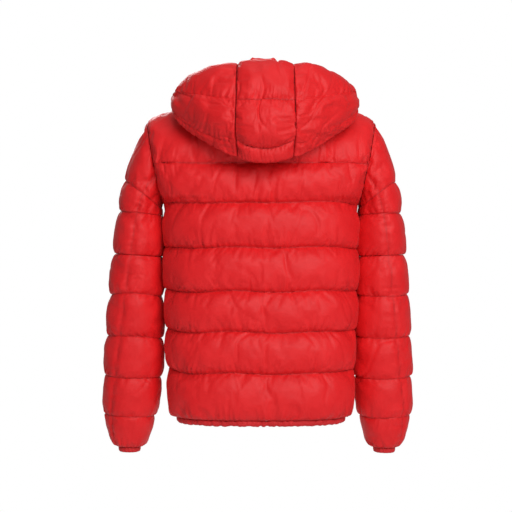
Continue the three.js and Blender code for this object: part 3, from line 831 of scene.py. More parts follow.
SHELL = Nylon("shell_nylon", (0.80, 0.013, 0.016), (0.74, 0.008, 0.011), (0.55, 0.008, 0.010))
# Painted shade: the hood's nylon is the shell's red made a little darker, where the hood turns away from the
# light.
HOOD = Nylon("hood_nylon_shaded", (0.76, 0.012, 0.015), (0.71, 0.008, 0.010), (0.50, 0.008, 0.010))
LINING = Nylon("lining_taffeta", (0.33, 0.010, 0.013), (0.26, 0.008, 0.010), (0.18, 0.005, 0.006),
               roughness=0.42, sheen=0.05, crinkle=0.0006)
BINDING = Nylon("elastic_binding", (0.66, 0.018, 0.022), (0.55, 0.013, 0.016), (0.35, 0.008, 0.010),
                roughness=0.62, sheen=0.2, weave=0.0014, crinkle=0.0005)
TAPE = Nylon("zip_tape_weave", (0.50, 0.013, 0.017), (0.40, 0.010, 0.013), (0.30, 0.008, 0.010),
             roughness=0.6, weave=0.0012, crinkle=0.0002)
TEETH = Metal("moulded_teeth", (0.46, 0.014, 0.018), metallic=0.0, roughness=0.36)
STEEL = Metal("brushed_zip_metal", (0.56, 0.57, 0.59))


def dress(made: bpy.types.Object, finish: bpy.types.Material) -> None:
    """Gives a piece its finish.

    Args:
        made: the piece.
        finish: its material.
    """
    made.data.materials.clear()
    made.data.materials.append(finish)


# ---- Body panels ----


def even(curve: Array, values: Array, count: int) -> Array:
    """Picks values that are evenly spaced along a curve.

    Args:
        curve: (n, 3) points of a fine curve.
        values: the value at each point.
        count: how many to pick.

    Returns:
        The values, first and last among them.
    """
    steps = np.linalg.norm(np.diff(curve, axis=0), axis=1)
    length = np.concatenate([[0], np.cumsum(steps)])
    return np.interp(np.linspace(0, length[-1], count), length, values)


def packed_rows(count: int) -> Array:
    """Returns shares from 0 to 1 that stand closer together near both ends."""
    s = np.linspace(0, 1, count + 1)
    return 0.45 * s + 0.55 * (1 - np.cos(np.pi * s)) / 2


@dataclass(frozen=True)
class Panel:
    """A back or front panel: a yoke and six quilted channels on one lining.

    Attributes:
        pattern: the body's sizes.
        name: the piece's name.
        word: the CAD nodes' name for it.
        face: back or front.
        side: which front, or nothing for the back.
        quilting: how it puffs.
        spacing: distance between the grid's columns.
        rows: rows in each channel.
        edge_reach: distance from a side edge to full padding.
        side_groove: how deep the seams sink at the body's sides.
        yoke_length: length of cloth from the yoke seam to the shoulder.
        pocket_ends: share and height of the pocket zip's ends.
        pocket_half: half the width of the pocket's opening.
        pocket_depth: how deep the opening is.
        pocket_ease: width of the opening's sloping edge.
    """

    pattern: Pattern
    name: str
    word: str
    face: Face
    side: Side | None
    quilting: Quilting
    spacing: float = 3.4
    rows: int = 24
    edge_reach: float = 30.0
    side_groove: float = 4.5
    yoke_length: float = 135.0
    pocket_ends: tuple[tuple[float, float], ...] = ((0.46, -386.0), (0.56, -548.0))
    pocket_half: float = 11.5
    pocket_depth: float = 14.2
    pocket_ease: float = 3.2

    def shares(self, count: int) -> Array:
        """Returns evenly spaced shares across the panel, from 0 to 1 or from -1 to 1.

        Args:
            count: how many to return.

        Returns:
            The shares.
        """
        low = -1.0 if self.side is None else 0.0
        fine = np.linspace(low, 1, 1201)
        curve = self.pattern.body(self.face, fine, np.full(1201, -400.0), np.zeros(1201))
        if self.side is not None:
            start = int(np.searchsorted(curve[:, 0], self.pattern.zip_half))
            fine, curve = fine[start:], curve[start:]
            fine = (fine - fine[0]) / (1 - fine[0])
        return even(curve, fine, count)

    def width(self) -> float:
        """Returns the panel's length along a seam."""
        fine = np.linspace(-1, 1, 1201)
        curve = self.pattern.body(self.face, fine, np.full(1201, -400.0), np.zeros(1201))
        whole = float(np.linalg.norm(np.diff(curve, axis=0), axis=1).sum())
        return whole if self.side is None else whole / 2 - self.pattern.zip_half

    def grid(self, inset_of: Array | float, share: Array, level: Array) -> Array:
        """Places the panel's points.

        Args:
            inset_of: inset at each point.
            share: share across the panel at each point.
            level: 1 to 0 over the yoke, then the height below the yoke seam as a negative number.

        Returns:
            (rows, columns, 3) in millimetres.
        """
        cut = self.pattern
        z = np.where(level > 0, cut.yoke_z, cut.yoke_z + level)
        rise = np.clip(level, 0, 1)
        inset = inset_of + 0 * share
        if self.side is None:
            at_body = at_yoke = np.clip(share, -0.9993, 0.9993)
        else:
            low = cut.front_share(z)
            high = math.asin(cut.zip_half / cut.neck_half_width) * 2 * cut.neck_share / math.pi
            at_body = mix(low, 0.9993, share)
            at_yoke = mix(mix(low, high, rise), 0.9993, share)
        below = cut.body(self.face, at_body, z, inset)
        above = cut.yoke(self.face, at_yoke, rise, inset)
        points = np.where((level > 0)[..., None], above, below)
        if self.side is not None:
            points[..., 0] = np.maximum(points[..., 0], cut.zip_half) * self.side.sign
        return points

    def pocket(self, points: Array) -> Array:
        """Returns 1 inside the pocket's opening and 0 away from it.

        Args:
            points: (rows, columns, 3) of the panel's outer face.

        Returns:
            How far each point is inside the opening.
        """
        ends = [self.pattern.body(Face.FRONT, np.array(self.side.sign * share), np.array(z), np.array(0.0))
                for share, z in self.pocket_ends]
        along = ends[1] - ends[0]
        t = np.clip(np.sum((points - ends[0]) * along, axis=-1) / np.sum(along * along), 0, 1)
        away = np.linalg.norm(points - ends[0] - along * t[..., None], axis=-1)
        return smooth((self.pocket_half - away) / self.pocket_ease)

    def build(self) -> bpy.types.Object:
        """Builds the padded panel."""
        cut, quilt = self.pattern, self.quilting
        width = self.width()
        columns = int(width / self.spacing)
        across = self.shares(columns)
        u_line = np.linspace(0, width, columns)
        steps = packed_rows(self.rows)
        level, t, index, height = [], [], [], []
        yoke_steps = packed_rows(34)
        for s in yoke_steps[:-1]:
            level.append(max(1e-6, (1 - s) * 0.997))
            t.append(s)
            index.append(0)
            height.append(self.yoke_length)
        for number, tall in enumerate(cut.heights):
            for s in steps[:-1]:
                level.append(-(cut.yoke_z - cut.seams[number]) - s * tall)
                t.append(s)
                index.append(number + 1)
                height.append(tall)
        level.append(float(cut.seams[-1]) - cut.yoke_z + GAP / 2)
        t.append(1.0)
        index.append(len(cut.heights))
        height.append(cut.heights[-1])
        rows = len(level)
        level, t, index, height = (np.array(a, float)[:, None] + np.zeros((1, columns))
                                   for a in (level, t, index, height))
        share = np.zeros((rows, 1)) + across[None, :]
        u = np.zeros((rows, 1)) + u_line[None, :]
        v = np.where(level > 0, (1 - level) * self.yoke_length, self.yoke_length - level)
        wobble = 1.8 * Ripple(quilt.seed + 77, 150, 700).at(u, v)
        below_yoke = (level < 0) & (level > float(cut.seams[-1]) - cut.yoke_z + 40)
        level = np.where(below_yoke, np.minimum(level + wobble, -0.05), level)
        from_edge = np.minimum(u, width - u)
        full = np.sqrt(np.clip(1 - (1 - np.clip(from_edge / self.edge_reach, 0, 1)) ** 2, 0, 1))
        sink = quilt.folds(u, v, t * height, (1 - t) * height, index)
        groove = mix(cut.groove, self.side_groove, smooth((np.abs(share) - 0.72) / 0.2))
        off_seam = np.minimum(t, 1 - t) * height
        inset = groove * (1 - quilt.swell(t)) + sink * smooth(from_edge / 9) * smooth(off_seam / 2)
        inset = mix(np.maximum(inset, self.side_groove + 1.5), inset, full)
        if self.side is not None:
            slot = self.pocket(self.grid(0.0, share, level))
            inset = mix(inset, self.pocket_depth, slot)
        inset = np.minimum(inset, cut.padding - 4)
        outer = self.grid(inset, share, level)
        # Where the painted seam shade goes: a narrow band along each quilting seam.
        seam = np.exp(-((off_seam / 1.6) ** 2))
        held = np.where((t == 0) | (t == 1) | (from_edge < 1), 1.0, 0.0)
        if self.side is not None:
            held = np.where(slot > 0.01, 1.0, held)
        inner = self.grid(cut.padding, share, level)
        outer = Inflation().apply(outer, inner, held, False)
        made = Maker.closed(self.name, outer, inner, u, v, seam, False)
        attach(made, Body.JACKET.value)
        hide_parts(f"{self.word}_yoke", *(f"{self.word}_channel_{n}" for n in range(1, 7)))
        log.info("%s: %d points", self.name, len(made.data.vertices))
        return made

    def lining(self, finish: bpy.types.Material) -> bpy.types.Object:
        """Builds the lining sheet behind the panel.

        Args:
            finish: the lining's material.

        Returns:
            The lining.
        """
        cut = self.pattern
        columns = 60 if self.side is None else 34
        across = self.shares(columns)
        top, bottom = 0.8, float(cut.seams[-1]) - cut.yoke_z + 1
        level = np.concatenate([np.linspace(top, 0.02, 18), np.linspace(-1, bottom, 90)])[:, None]
        level = level + np.zeros((1, columns))
        share = np.zeros((len(level), 1)) + across[None, :]
        width = self.width()
        u = np.zeros((len(level), 1)) + np.linspace(0, width, columns)[None, :]
        v = np.where(level > 0, (1 - level) * self.yoke_length, self.yoke_length - level)
        edge = smooth(np.minimum(u, width - u) / 25) * smooth((level - bottom) / 25)
        slack = 1.1 * (Ripple(self.quilting.seed + 11, 60, 90).at(u, v) + 1.6) * edge
        near = cut.padding + GAP + np.clip(slack, 0, 5)
        made = Maker.closed(f"{self.name}_lining", self.grid(near, share, level),
                            self.grid(near + 1.2, share, level), u, v, 0 * u, False)
        dress(made, finish)
        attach(made, Body.JACKET.value)
        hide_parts(f"{self.word}_lining")
        points = self.grid(near, share, level)
        return made


# ---- Trims of the body ----


@dataclass(frozen=True)
class Hem:
    """The bound hem, an elastic strip from one side of the zip round the back to the other.

    Attributes:
        pattern: the body's sizes.
        gather: depth of the elastic's ribs.
    """

    pattern: Pattern
    gather: float = 0.7

    def build(self, finish: bpy.types.Material) -> bpy.types.Object:
        """Builds and dresses the strip.

        Args:
            finish: the binding's material.

        Returns:
            The strip.
        """
        cut = self.pattern
        low = float(cut.front_share(cut.seams[-1:])[0])
        fine = np.linspace(low, 1, 900)
        level = np.full(900, float(cut.seams[-1]))
        front = even(cut.body(Face.FRONT, fine, level, 0 * fine), fine, 110)
        fine = np.linspace(-1, 1, 1600)
        level = np.full(1600, float(cut.seams[-1]))
        back = even(cut.body(Face.BACK, fine, level, 0 * fine), fine, 230)[::-1]
        outline = self.outline()
        columns = [self.column(Face.FRONT, s, outline, 1) for s in front[:-1]]
        columns += [self.column(Face.BACK, s, outline, 0) for s in back]
        columns += [self.column(Face.FRONT, -s, outline, -1) for s in front[:-1][::-1]]
        grid = np.stack(columns, axis=1)
        u = np.zeros(grid.shape[:2])
        u[:, 1:] = np.cumsum(np.linalg.norm(np.diff(grid[0], axis=0), axis=-1))
        v = np.linspace(0, 30, len(outline))[:, None] + 0 * u
        ribs = self.gather * (Ripple(81, 9, 60).at(u, v) + 0.6 * Ripple(82, 30, 60).at(u, v))
        middle = grid.mean(axis=0, keepdims=True)
        away = grid - middle
        length = np.linalg.norm(away, axis=-1, keepdims=True)
        grid = grid + away / np.maximum(length, 1e-6) * np.clip(ribs, -1.5, 0.9)[..., None]
        made = self.tube("hem_strip", grid, u, v)
        dress(made, finish)
        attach(made, Body.JACKET.value)
        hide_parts("hem_binding")
        log.info("hem_strip: %d points", len(made.data.vertices))
        return made

    def outline(self) -> list[tuple[float, float]]:
        """Returns the strip's rounded section as heights and insets."""
        cut = self.pattern
        top, low = float(cut.seams[-1]) - GAP / 2, cut.hem_z
        out, back = cut.padding - cut.hem_thickness - 2, cut.padding - 1
        return [(top, back), (top, out), (top - 2.5, out - 1.2), ((top + low) / 2, out - 1.6),
                (low + 2.5, out - 1), (low + 0.6, out + 1), (low, out + 3), (low, back - 1.5),
                (low + 1.5, back)]

    def column(self, face: Face, share: float, outline: list[tuple[float, float]], side: int) -> Array:
        """Returns the section's points at one share.

        Args:
            face: back or front.
            share: share across the body.
            outline: the section's heights and insets.
            side: which side of the zip it stays on, or 0 for the back.

        Returns:
            Points in millimetres.
        """
        z, inset = np.array(outline).T
        points = self.pattern.body(face, np.full(len(z), float(share)), z, inset)
        if side:
            points[:, 0] = side * np.maximum(np.abs(points[:, 0]), self.pattern.zip_half)
        return points

    @staticmethod
    def tube(name: str, grid: Array, u: Array, v: Array) -> bpy.types.Object:
        """Closes a swept section at both ends.

        Args:
            name: the object's name.
            grid: (points of the section, stations, 3) in millimetres.
            u: distance along the strip.
            v: distance round the section.

        Returns:
            The closed piece.
        """
        rows, columns = grid.shape[:2]
        swept = grid.transpose(1, 0, 2)
        quads = Maker.grid_quads(columns, rows, 0, True)
        points = swept.reshape(-1, 3) * MM
        ends = np.stack([swept[0].mean(axis=0), swept[-1].mean(axis=0)]) * MM
        count = len(points)
        k = np.arange(rows)
        n = (k + 1) % rows
        last = (columns - 1) * rows
        first_fan = np.stack([n, k, 0 * k + count, 0 * k + count], axis=-1)
        last_fan = np.stack([last + k, last + n, 0 * k + count + 1, 0 * k + count + 1], axis=-1)
        faces = [list(q) for q in quads] + [list(q[:3]) for q in first_fan] + [list(q[:3]) for q in last_fan]
        mesh = bpy.data.meshes.new(name)
        mesh.from_pydata(np.concatenate([points, ends]).tolist(), [], faces)
        mesh.shade_smooth()
        made = bpy.data.objects.new(name, mesh)
        bpy.context.scene.collection.objects.link(made)
        Solid.face_out(made)
        pad = np.zeros(2)
        Maker.attributes(made, np.concatenate([u.T.reshape(-1), pad]), np.concatenate([v.T.reshape(-1), pad]),
                         np.zeros(count + 2))
        return made


class Solid:
    """Help with closed solids."""

    @staticmethod
    def face_out(made: bpy.types.Object) -> None:
        """Turns all faces outwards.

        Args:
            made: the closed object.
        """
        bpy.ops.object.select_all(action="DESELECT")
        made.select_set(True)
        bpy.context.view_layer.objects.active = made
        bpy.ops.object.mode_set(mode="EDIT")
        bpy.ops.mesh.select_all(action="SELECT")
        bpy.ops.mesh.normals_make_consistent(inside=False)
        bpy.ops.object.mode_set(mode="OBJECT")


@dataclass(frozen=True)
class Collar:
    """The padded stand collar.

    Attributes:
        pattern: the body's sizes.
        back_height: height at the back.
        side_height: height at the sides.
        front_height: height at the front.
        side_lean: how far the sides lean in.
        back_lean: how far the back leans in.
        padding: thickness.
        swell: how deep its seam sinks.
        peaks: X of the two peaks of the top edge.
        peak_height: their height.
        peak_width: their width.
        half_girth: radius that turns an angle into a length of cloth.
        slant_height: length of cloth from the lower edge to the top.
    """

    pattern: Pattern
    back_height: float = 70.0
    side_height: float = 48.0
    front_height: float = 70.0
    side_lean: float = 20.0
    back_lean: float = 8.0
    padding: float = 14.0
    swell: float = 4.0
    peaks: tuple[float, float] = (26.0, -38.0)
    peak_height: float = 4.5
    peak_width: float = 7.0
    half_girth: float = 80.0
    slant_height: float = 90.0

    def point(self, turn: Array, rise: Array, inset: Array) -> Array:
        """Returns points of the collar; turn 0 is the back.

        Args:
            turn: 0 at the back and pi at the front.
            rise: 0 at the lower edge and 1 at the top.
            inset: distance below the outer face.

        Returns:
            Points in millimetres.
        """
        cut = self.pattern
        front = np.cos(turn) < 0
        end = np.where(front, self.front_height, self.back_height)
        top = mix(self.side_height, end, np.cos(turn) ** 2)
        height = mix(-cut.padding, top, rise)
        z = cut.neck_height(turn) + height
        lean = smooth(np.maximum(0, height) / self.back_height)
        width = cut.neck_half_width - self.side_lean * lean - inset
        back = cut.neck_back_depth - self.back_lean * lean - inset
        depth = np.where(front, cut.front_depth(z) - cut.tape_inset / 2 - inset, back)
        return stack(width * np.sin(turn), depth * np.cos(turn), z)

    def crest(self, turn: Array, rise: Array) -> Array:
        """Returns how far the top edge waves, with two soft peaks at the back.

        Args:
            turn: 0 at the back and pi at the front.
            rise: 0 at the lower edge and 1 at the top.

        Returns:
            Heights to add, in millimetres.
        """
        far_away = 400
        x = self.pattern.neck_half_width * np.sin(turn) + np.where(np.cos(turn) < 0, far_away, 0)
        peaks = 0
        for place in self.peaks:
            peaks = peaks + self.peak_height * np.exp(-(((x - place) / self.peak_width) ** 2))
        wave = 0.7 * Ripple(35, 40, 500).at(turn * self.half_girth, 0 * turn)
        return smooth((rise - 0.7) / 0.3) * (peaks - 3.4 + wave)

    def build(self, finish: bpy.types.Material) -> bpy.types.Object:
        """Builds and dresses the collar.

        Args:
            finish: the shell's material.

        Returns:
            The collar.
        """
        cut = self.pattern
        end = math.pi - math.asin(cut.zip_half / (cut.neck_half_width - self.side_lean - self.padding))
        turn = np.linspace(-end, end, 190)[None, :]
        s = np.linspace(0, 1, 40)[:, None]
        u = turn * self.half_girth + 0 * s
        v = s * self.slant_height + 0 * turn
        quilt = Quilting(groove=self.swell, fullest=0.55, pucker=1.3, reach=12, lump=0.7, crease=1.2, seed=31)
        ends = smooth((end - np.abs(turn)) * self.half_girth / 14) + 0 * s
        sink = quilt.folds(u, v, v, self.slant_height - v, np.zeros(v.shape)) * ends
        inset = self.swell * 0.6 * (1 - quilt.swell(s * 0.94 + 0.03)) * ends + np.clip(sink, -1.5, 3)
        outer = self.point(turn, s * 0.985, np.maximum(inset, -0.6) * smooth(s / 0.25))
        crest = self.crest(turn, s) * ends
        outer[..., 2] += crest
        near_top = np.clip((s - 0.86) / 0.14, 0, 1) ** 2
        rounding = self.padding * (1 - 0.32 * near_top)
        outer_top = 0.32 * self.padding * near_top
        direction = self.point(turn, s * 0.985, 1.0 + 0 * turn) - self.point(turn, s * 0.985, 0.0 * turn)
        outer = outer + direction * outer_top[..., None]
        inner = self.point(turn, s * 0.985, rounding + 0 * turn)
        inner[..., 2] += crest
        # Where the painted seam shade goes: a narrow band 8 mm below the collar's top edge.
        seam = np.exp(-(((1 - s) * self.slant_height - 8) / 1.2) ** 2) + 0 * u
        made = Maker.closed("stand_collar", outer, inner, u, v, seam, False)
        dress(made, finish)
        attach(made, Body.JACKET.value)
        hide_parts("collar")
        log.info("stand_collar: %d points", len(made.data.vertices))
        return made


# ---- Sleeves ----


@dataclass(frozen=True)
class Sleeve:
    """One sleeve: a cap down to the elbow's upper channels and a lower part with the cuff.

    Attributes:
        pattern: the body's sizes.
        side: which sleeve.
        seed: which pattern its folds follow.
        padding: thickness of shell, down and backing.
        groove: how deep a seam sinks.
        squareness: how square its section is, from 2 for round.
        lean_in: how much fuller it is towards the body.
        swing: how many degrees it hangs away from the body's own line.
        rows: rows in each channel.
        split: number of the seam at the elbow.
        cuff_height: height of the cuff binding.
        cuff_thickness: its thickness.
        girth: length of cloth round the sleeve.
        channel_height: length of cloth down one channel.
    """

    pattern: Pattern
    side: Side
    seed: int
    padding: float = 17.0
    groove: float = 6.0
    squareness: float = 2.3
    lean_in: float = 7.0
    swing: float = 0.8
    rows: int = 22
    split: int = 3
    cuff_height: float = 12.0
    cuff_thickness: float = 4.0
    girth: float = 300.0
    channel_height: float = 82.0

    @property
    def stations(self) -> Array:
        """Outer X and Z, inner X and Z, half depth and Y at each seam."""
        cut = self.pattern
        return np.array([
            [*cut.tip, *cut.pit, 80, 0],
            [278, -171, 203, -229, 80, -3],
            [290, -237, 203, -246, 78, -6],
            [300, -324, 203, -329, 74, -10],
            [308, -405, 203, -409, 70, -14],
            [314, -491, 203, -494, 66, -19],
            [318, -574, 204, -577, 62, -24],
            [319, -655, 210, -658, 56, -29],
            [298, -722, 231, -722, 36, -33],
        ])

    def point(self, turn: Array, station: Array, inset: Array) -> Array:
        """Returns points of the sleeve; turn 0 faces away from the body, a quarter turn the back.

        Args:
            turn: angle round the sleeve.
            station: number of the seam, with the share towards the next.
            inset: distance below the outer face.

        Returns:
            Points in millimetres.
        """
        table = self.stations
        below = np.clip(np.floor(station), 0, len(table) - 2).astype(int)
        share = (station - below)[..., None]
        row = mix(table[below], table[below + 1], share)
        outer, inner = row[..., 0:2], row[..., 2:4]
        span = outer - inner
        length = np.linalg.norm(span, axis=-1, keepdims=True)
        cos, sin, power = np.cos(turn), np.sin(turn), 2 / self.squareness
        reach = (length[..., 0] / 2 - inset) * np.sign(cos) * np.abs(cos) ** power
        flat = (outer + inner) / 2 + span / length * reach[..., None]
        y = row[..., 5] + (row[..., 4] - inset) * np.sign(sin) * np.abs(sin) ** power
        centre, _, out, _ = self.pattern.armhole
        angle = np.radians(self.swing * self.side.sign) * np.minimum(station, 1)
        dx, dz = flat[..., 0] - centre[0], flat[..., 1] - centre[1]
        x = centre[0] + dx * np.cos(angle) - dz * np.sin(angle)
        z = centre[1] + dx * np.sin(angle) + dz * np.cos(angle)
        ease = GAP * np.clip(1 - station, 0, 1)
        return stack((x + out[0] * ease) * self.side.sign, y, z + out[1] * ease)

    def turns(self, count: int) -> Array:
        """Returns evenly spaced turns round the sleeve.

        Args:
            count: how many to return.

        Returns:
            The turns, in radians.
        """
        fine = np.linspace(0, 2 * np.pi, 1441)
        curve = self.point(fine, np.full(1441, 3.0), np.zeros(1441))
        return even(curve, fine, count + 1)[:-1]

    def seam_turn(self, station: Array) -> Array:
        """Returns the turn of the long seam down the back of the sleeve.

        Args:
            station: number of the seam, with the share towards the next.

        Returns:
            The turns, in radians.
        """
        across = np.interp(station, [0, 1, 2, 3, 4, 5, 6, 7, 8],
                           [0.32, 0.42, 0.5, 0.58, 0.63, 0.685, 0.755, 0.82, 0.9])
        cos = 2 * across - 1
        return np.arccos(np.sign(cos) * np.abs(cos) ** (self.squareness / 2))

    def part(self, name: str, start: int, end: int, finish: bpy.types.Material) -> bpy.types.Object:
        """Builds and dresses the channels between two seams.

        Args:
            name: the piece's name.
            start: number of its first seam.
            end: number of its last.
            finish: the shell's material.

        Returns:
            The piece.
        """
        quilt = Quilting(groove=self.groove, fullest=0.58, pucker=3.4, reach=13, lump=0.9, crease=1.8,
                         seed=self.seed + start)
        columns = 112
        turn_line = self.turns(columns)
        stations, t, index = [], [], []
        steps = packed_rows(self.rows)
        for number in range(start, end):
            for s in steps[:-1]:
                stations.append(number + s)
                t.append(s)
                index.append(number - start)
        stations[0] += 0.001
        stations.append(end - 0.003)
        t.append(1.0)
        index.append(end - start - 1)
        station, t, index = (np.array(a, float)[:, None] + np.zeros((1, columns))
                             for a in (stations, t, index))
        turn = turn_line[None, :] + 0 * station
        whole = np.floor(np.minimum(station, end - 1e-3))
        top = self.point(turn, whole, 0 * turn)
        low = self.point(turn, whole + 1, 0 * turn)
        height = np.linalg.norm(top - low, axis=-1)
        around = turn / (2 * np.pi) * self.girth
        v = station * self.channel_height
        # Noise goes round without a step because the two ends are faded into each other.
        share = np.linspace(0, 1, columns, endpoint=False)[None, :] + 0 * station
        fade = smooth((share - 0.9) / 0.1)
        arc = share * self.girth
        sink = (quilt.folds(arc, v, t * height, (1 - t) * height, index) * (1 - fade)
                + quilt.folds(arc - self.girth, v, t * height, (1 - t) * height, index) * fade)
        size = np.clip(height / 60, 0.15, 1)
        off_seam = np.abs(turn - self.seam_turn(station)) * 47
        strip = np.exp(-((off_seam / 4.5) ** 2))
        drift = 3 * Ripple(self.seed + 5, 40, 60).at(v, 0 * v)
        gathers = 0.5 + 0.5 * np.sin(v / 11 * 2 * np.pi / 1.6 + drift)
        beside = np.exp(-((off_seam / 13) ** 2)) * (gathers - 0.5)
        off_ring = np.minimum(t, 1 - t) * height
        inset = self.groove * (1 - quilt.swell(t) * size) + sink * size * smooth(off_ring / 3)
        inset = inset + 3.6 * strip * quilt.swell(t) + 1.8 * beside * quilt.swell(t)
        # The side towards the body stands fuller, up against it.
        inward = smooth((-np.cos(turn) - 0.5) / 0.4)
        inset = inset - self.lean_in * inward * smooth((station - 0.4) / 0.8) * smooth((7.2 - station) / 1.5)
        inset = np.minimum(inset, self.padding - 4)
        faded_arc = arc * (1 - fade) + (arc - self.girth) * fade
        drop = 1.6 * Ripple(self.seed + 21, 120, 300).at(faded_arc, v)
        inner_rows = (station > start + 0.5) & (station < end - 0.5)
        station = np.where(inner_rows, station + drop / self.channel_height, station)
        outer = self.point(turn, station, inset)
        # Where the painted seam shade goes: along each ring seam and the long seam down the back.
        seam = np.maximum(np.exp(-((off_ring / 1.5) ** 2)), 0.8 * np.exp(-((off_seam / 1.5) ** 2)))
        held = np.where((t == 0) | (t == 1), 1.0, 0.0)
        inner = self.point(turn, station, self.padding + 0 * turn)
        outer = Inflation(spare=0.03, cap=4.0).apply(outer, inner, held, True)
        made = Maker.closed(name, outer, inner, around, v, seam, True)
        dress(made, finish)
        word = self.side.value
        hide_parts(*(f"sleeve_{word}_channel_{n + 1}" for n in range(start, end)))
        log.info("%s: %d points", name, len(made.data.vertices))
        return made

    def build(self, finish: bpy.types.Material, binding: bpy.types.Material) -> None:
        """Builds both parts and the cuff, and joins them to their bodies.

        Args:
            finish: the shell's material.
            binding: the cuff's material.
        """
        word, sign = self.side.value, self.side.sign
        upper = Body[f"{word.upper()}_UPPER"].value
        lower = Body[f"{word.upper()}_LOWER"].value
        cap = self.part(f"sleeve_{word}_cap", 0, self.split, finish)
        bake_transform(cap, Body.JACKET.value, upper,
                 start=(sign * 0.248, 0, -0.191), end=(sign * 0.293, 0, -0.269))
        forearm = self.part(f"sleeve_{word}_forearm", self.split, len(self.stations) - 1, finish)
        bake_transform(forearm, upper, lower,
                 start=(sign * 0.2565, -0.010, -0.330), end=(sign * 0.2585, -0.019, -0.490))
        cuff = self.cuff(binding)
        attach(cuff, lower)

    def cuff(self, finish: bpy.types.Material) -> bpy.types.Object:
        """Builds the elastic cuff binding.

        Args:
            finish: the binding's material.

        Returns:
            The cuff.
        """
        near, pad = self.padding - self.cuff_thickness, self.padding
        outline = [(0.02, pad), (0.02, near - 1.5), (0.25, near - 2.2), (0.6, near - 2), (0.88, near - 1.2),
                   (0.98, near + 0.6), (1.0, near + 1.8), (0.98, pad - 0.6), (0.9, pad)]
        columns = 150
        turn = self.turns(columns)[None, :]
        along, inset = (np.array(a)[:, None] for a in zip(*outline))
        u = np.linspace(0, 200, columns, endpoint=False)[None, :] + 0 * along
        share = u / 200
        fade = smooth((share - 0.9) / 0.1)
        ribs = Ripple(91, 7, 60).at(u, 0 * u) * (1 - fade) + Ripple(91, 7, 60).at(u - 200, 0 * u) * fade
        shape = inset - 0.45 * np.clip(ribs, -1.4, 1.2) * (inset < pad - 0.5)
        grid = self.point(turn + 0 * along, 8 + 0 * turn + 0 * along, shape)
        grid[..., 2] -= mix(GAP / 2, self.cuff_height, along)
        rows = len(outline)
        quads = []
        for j in range(rows):
            k = (j + 1) % rows
            for i in range(columns):
                n = (i + 1) % columns
                quads.append((j * columns + i, j * columns + n, k * columns + n, k * columns + i))
        made = Maker.mesh(f"sleeve_{self.side.value}_cuff", grid.reshape(-1, 3) * MM, np.array(quads))
        Solid.face_out(made)
        v = along * 14 + 0 * u
        Maker.attributes(made, u.reshape(-1), v.reshape(-1), np.zeros(u.size))
        dress(made, finish)
        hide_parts(f"sleeve_{self.side.value}_cuff_binding")
        return made


# ---- Hood ----


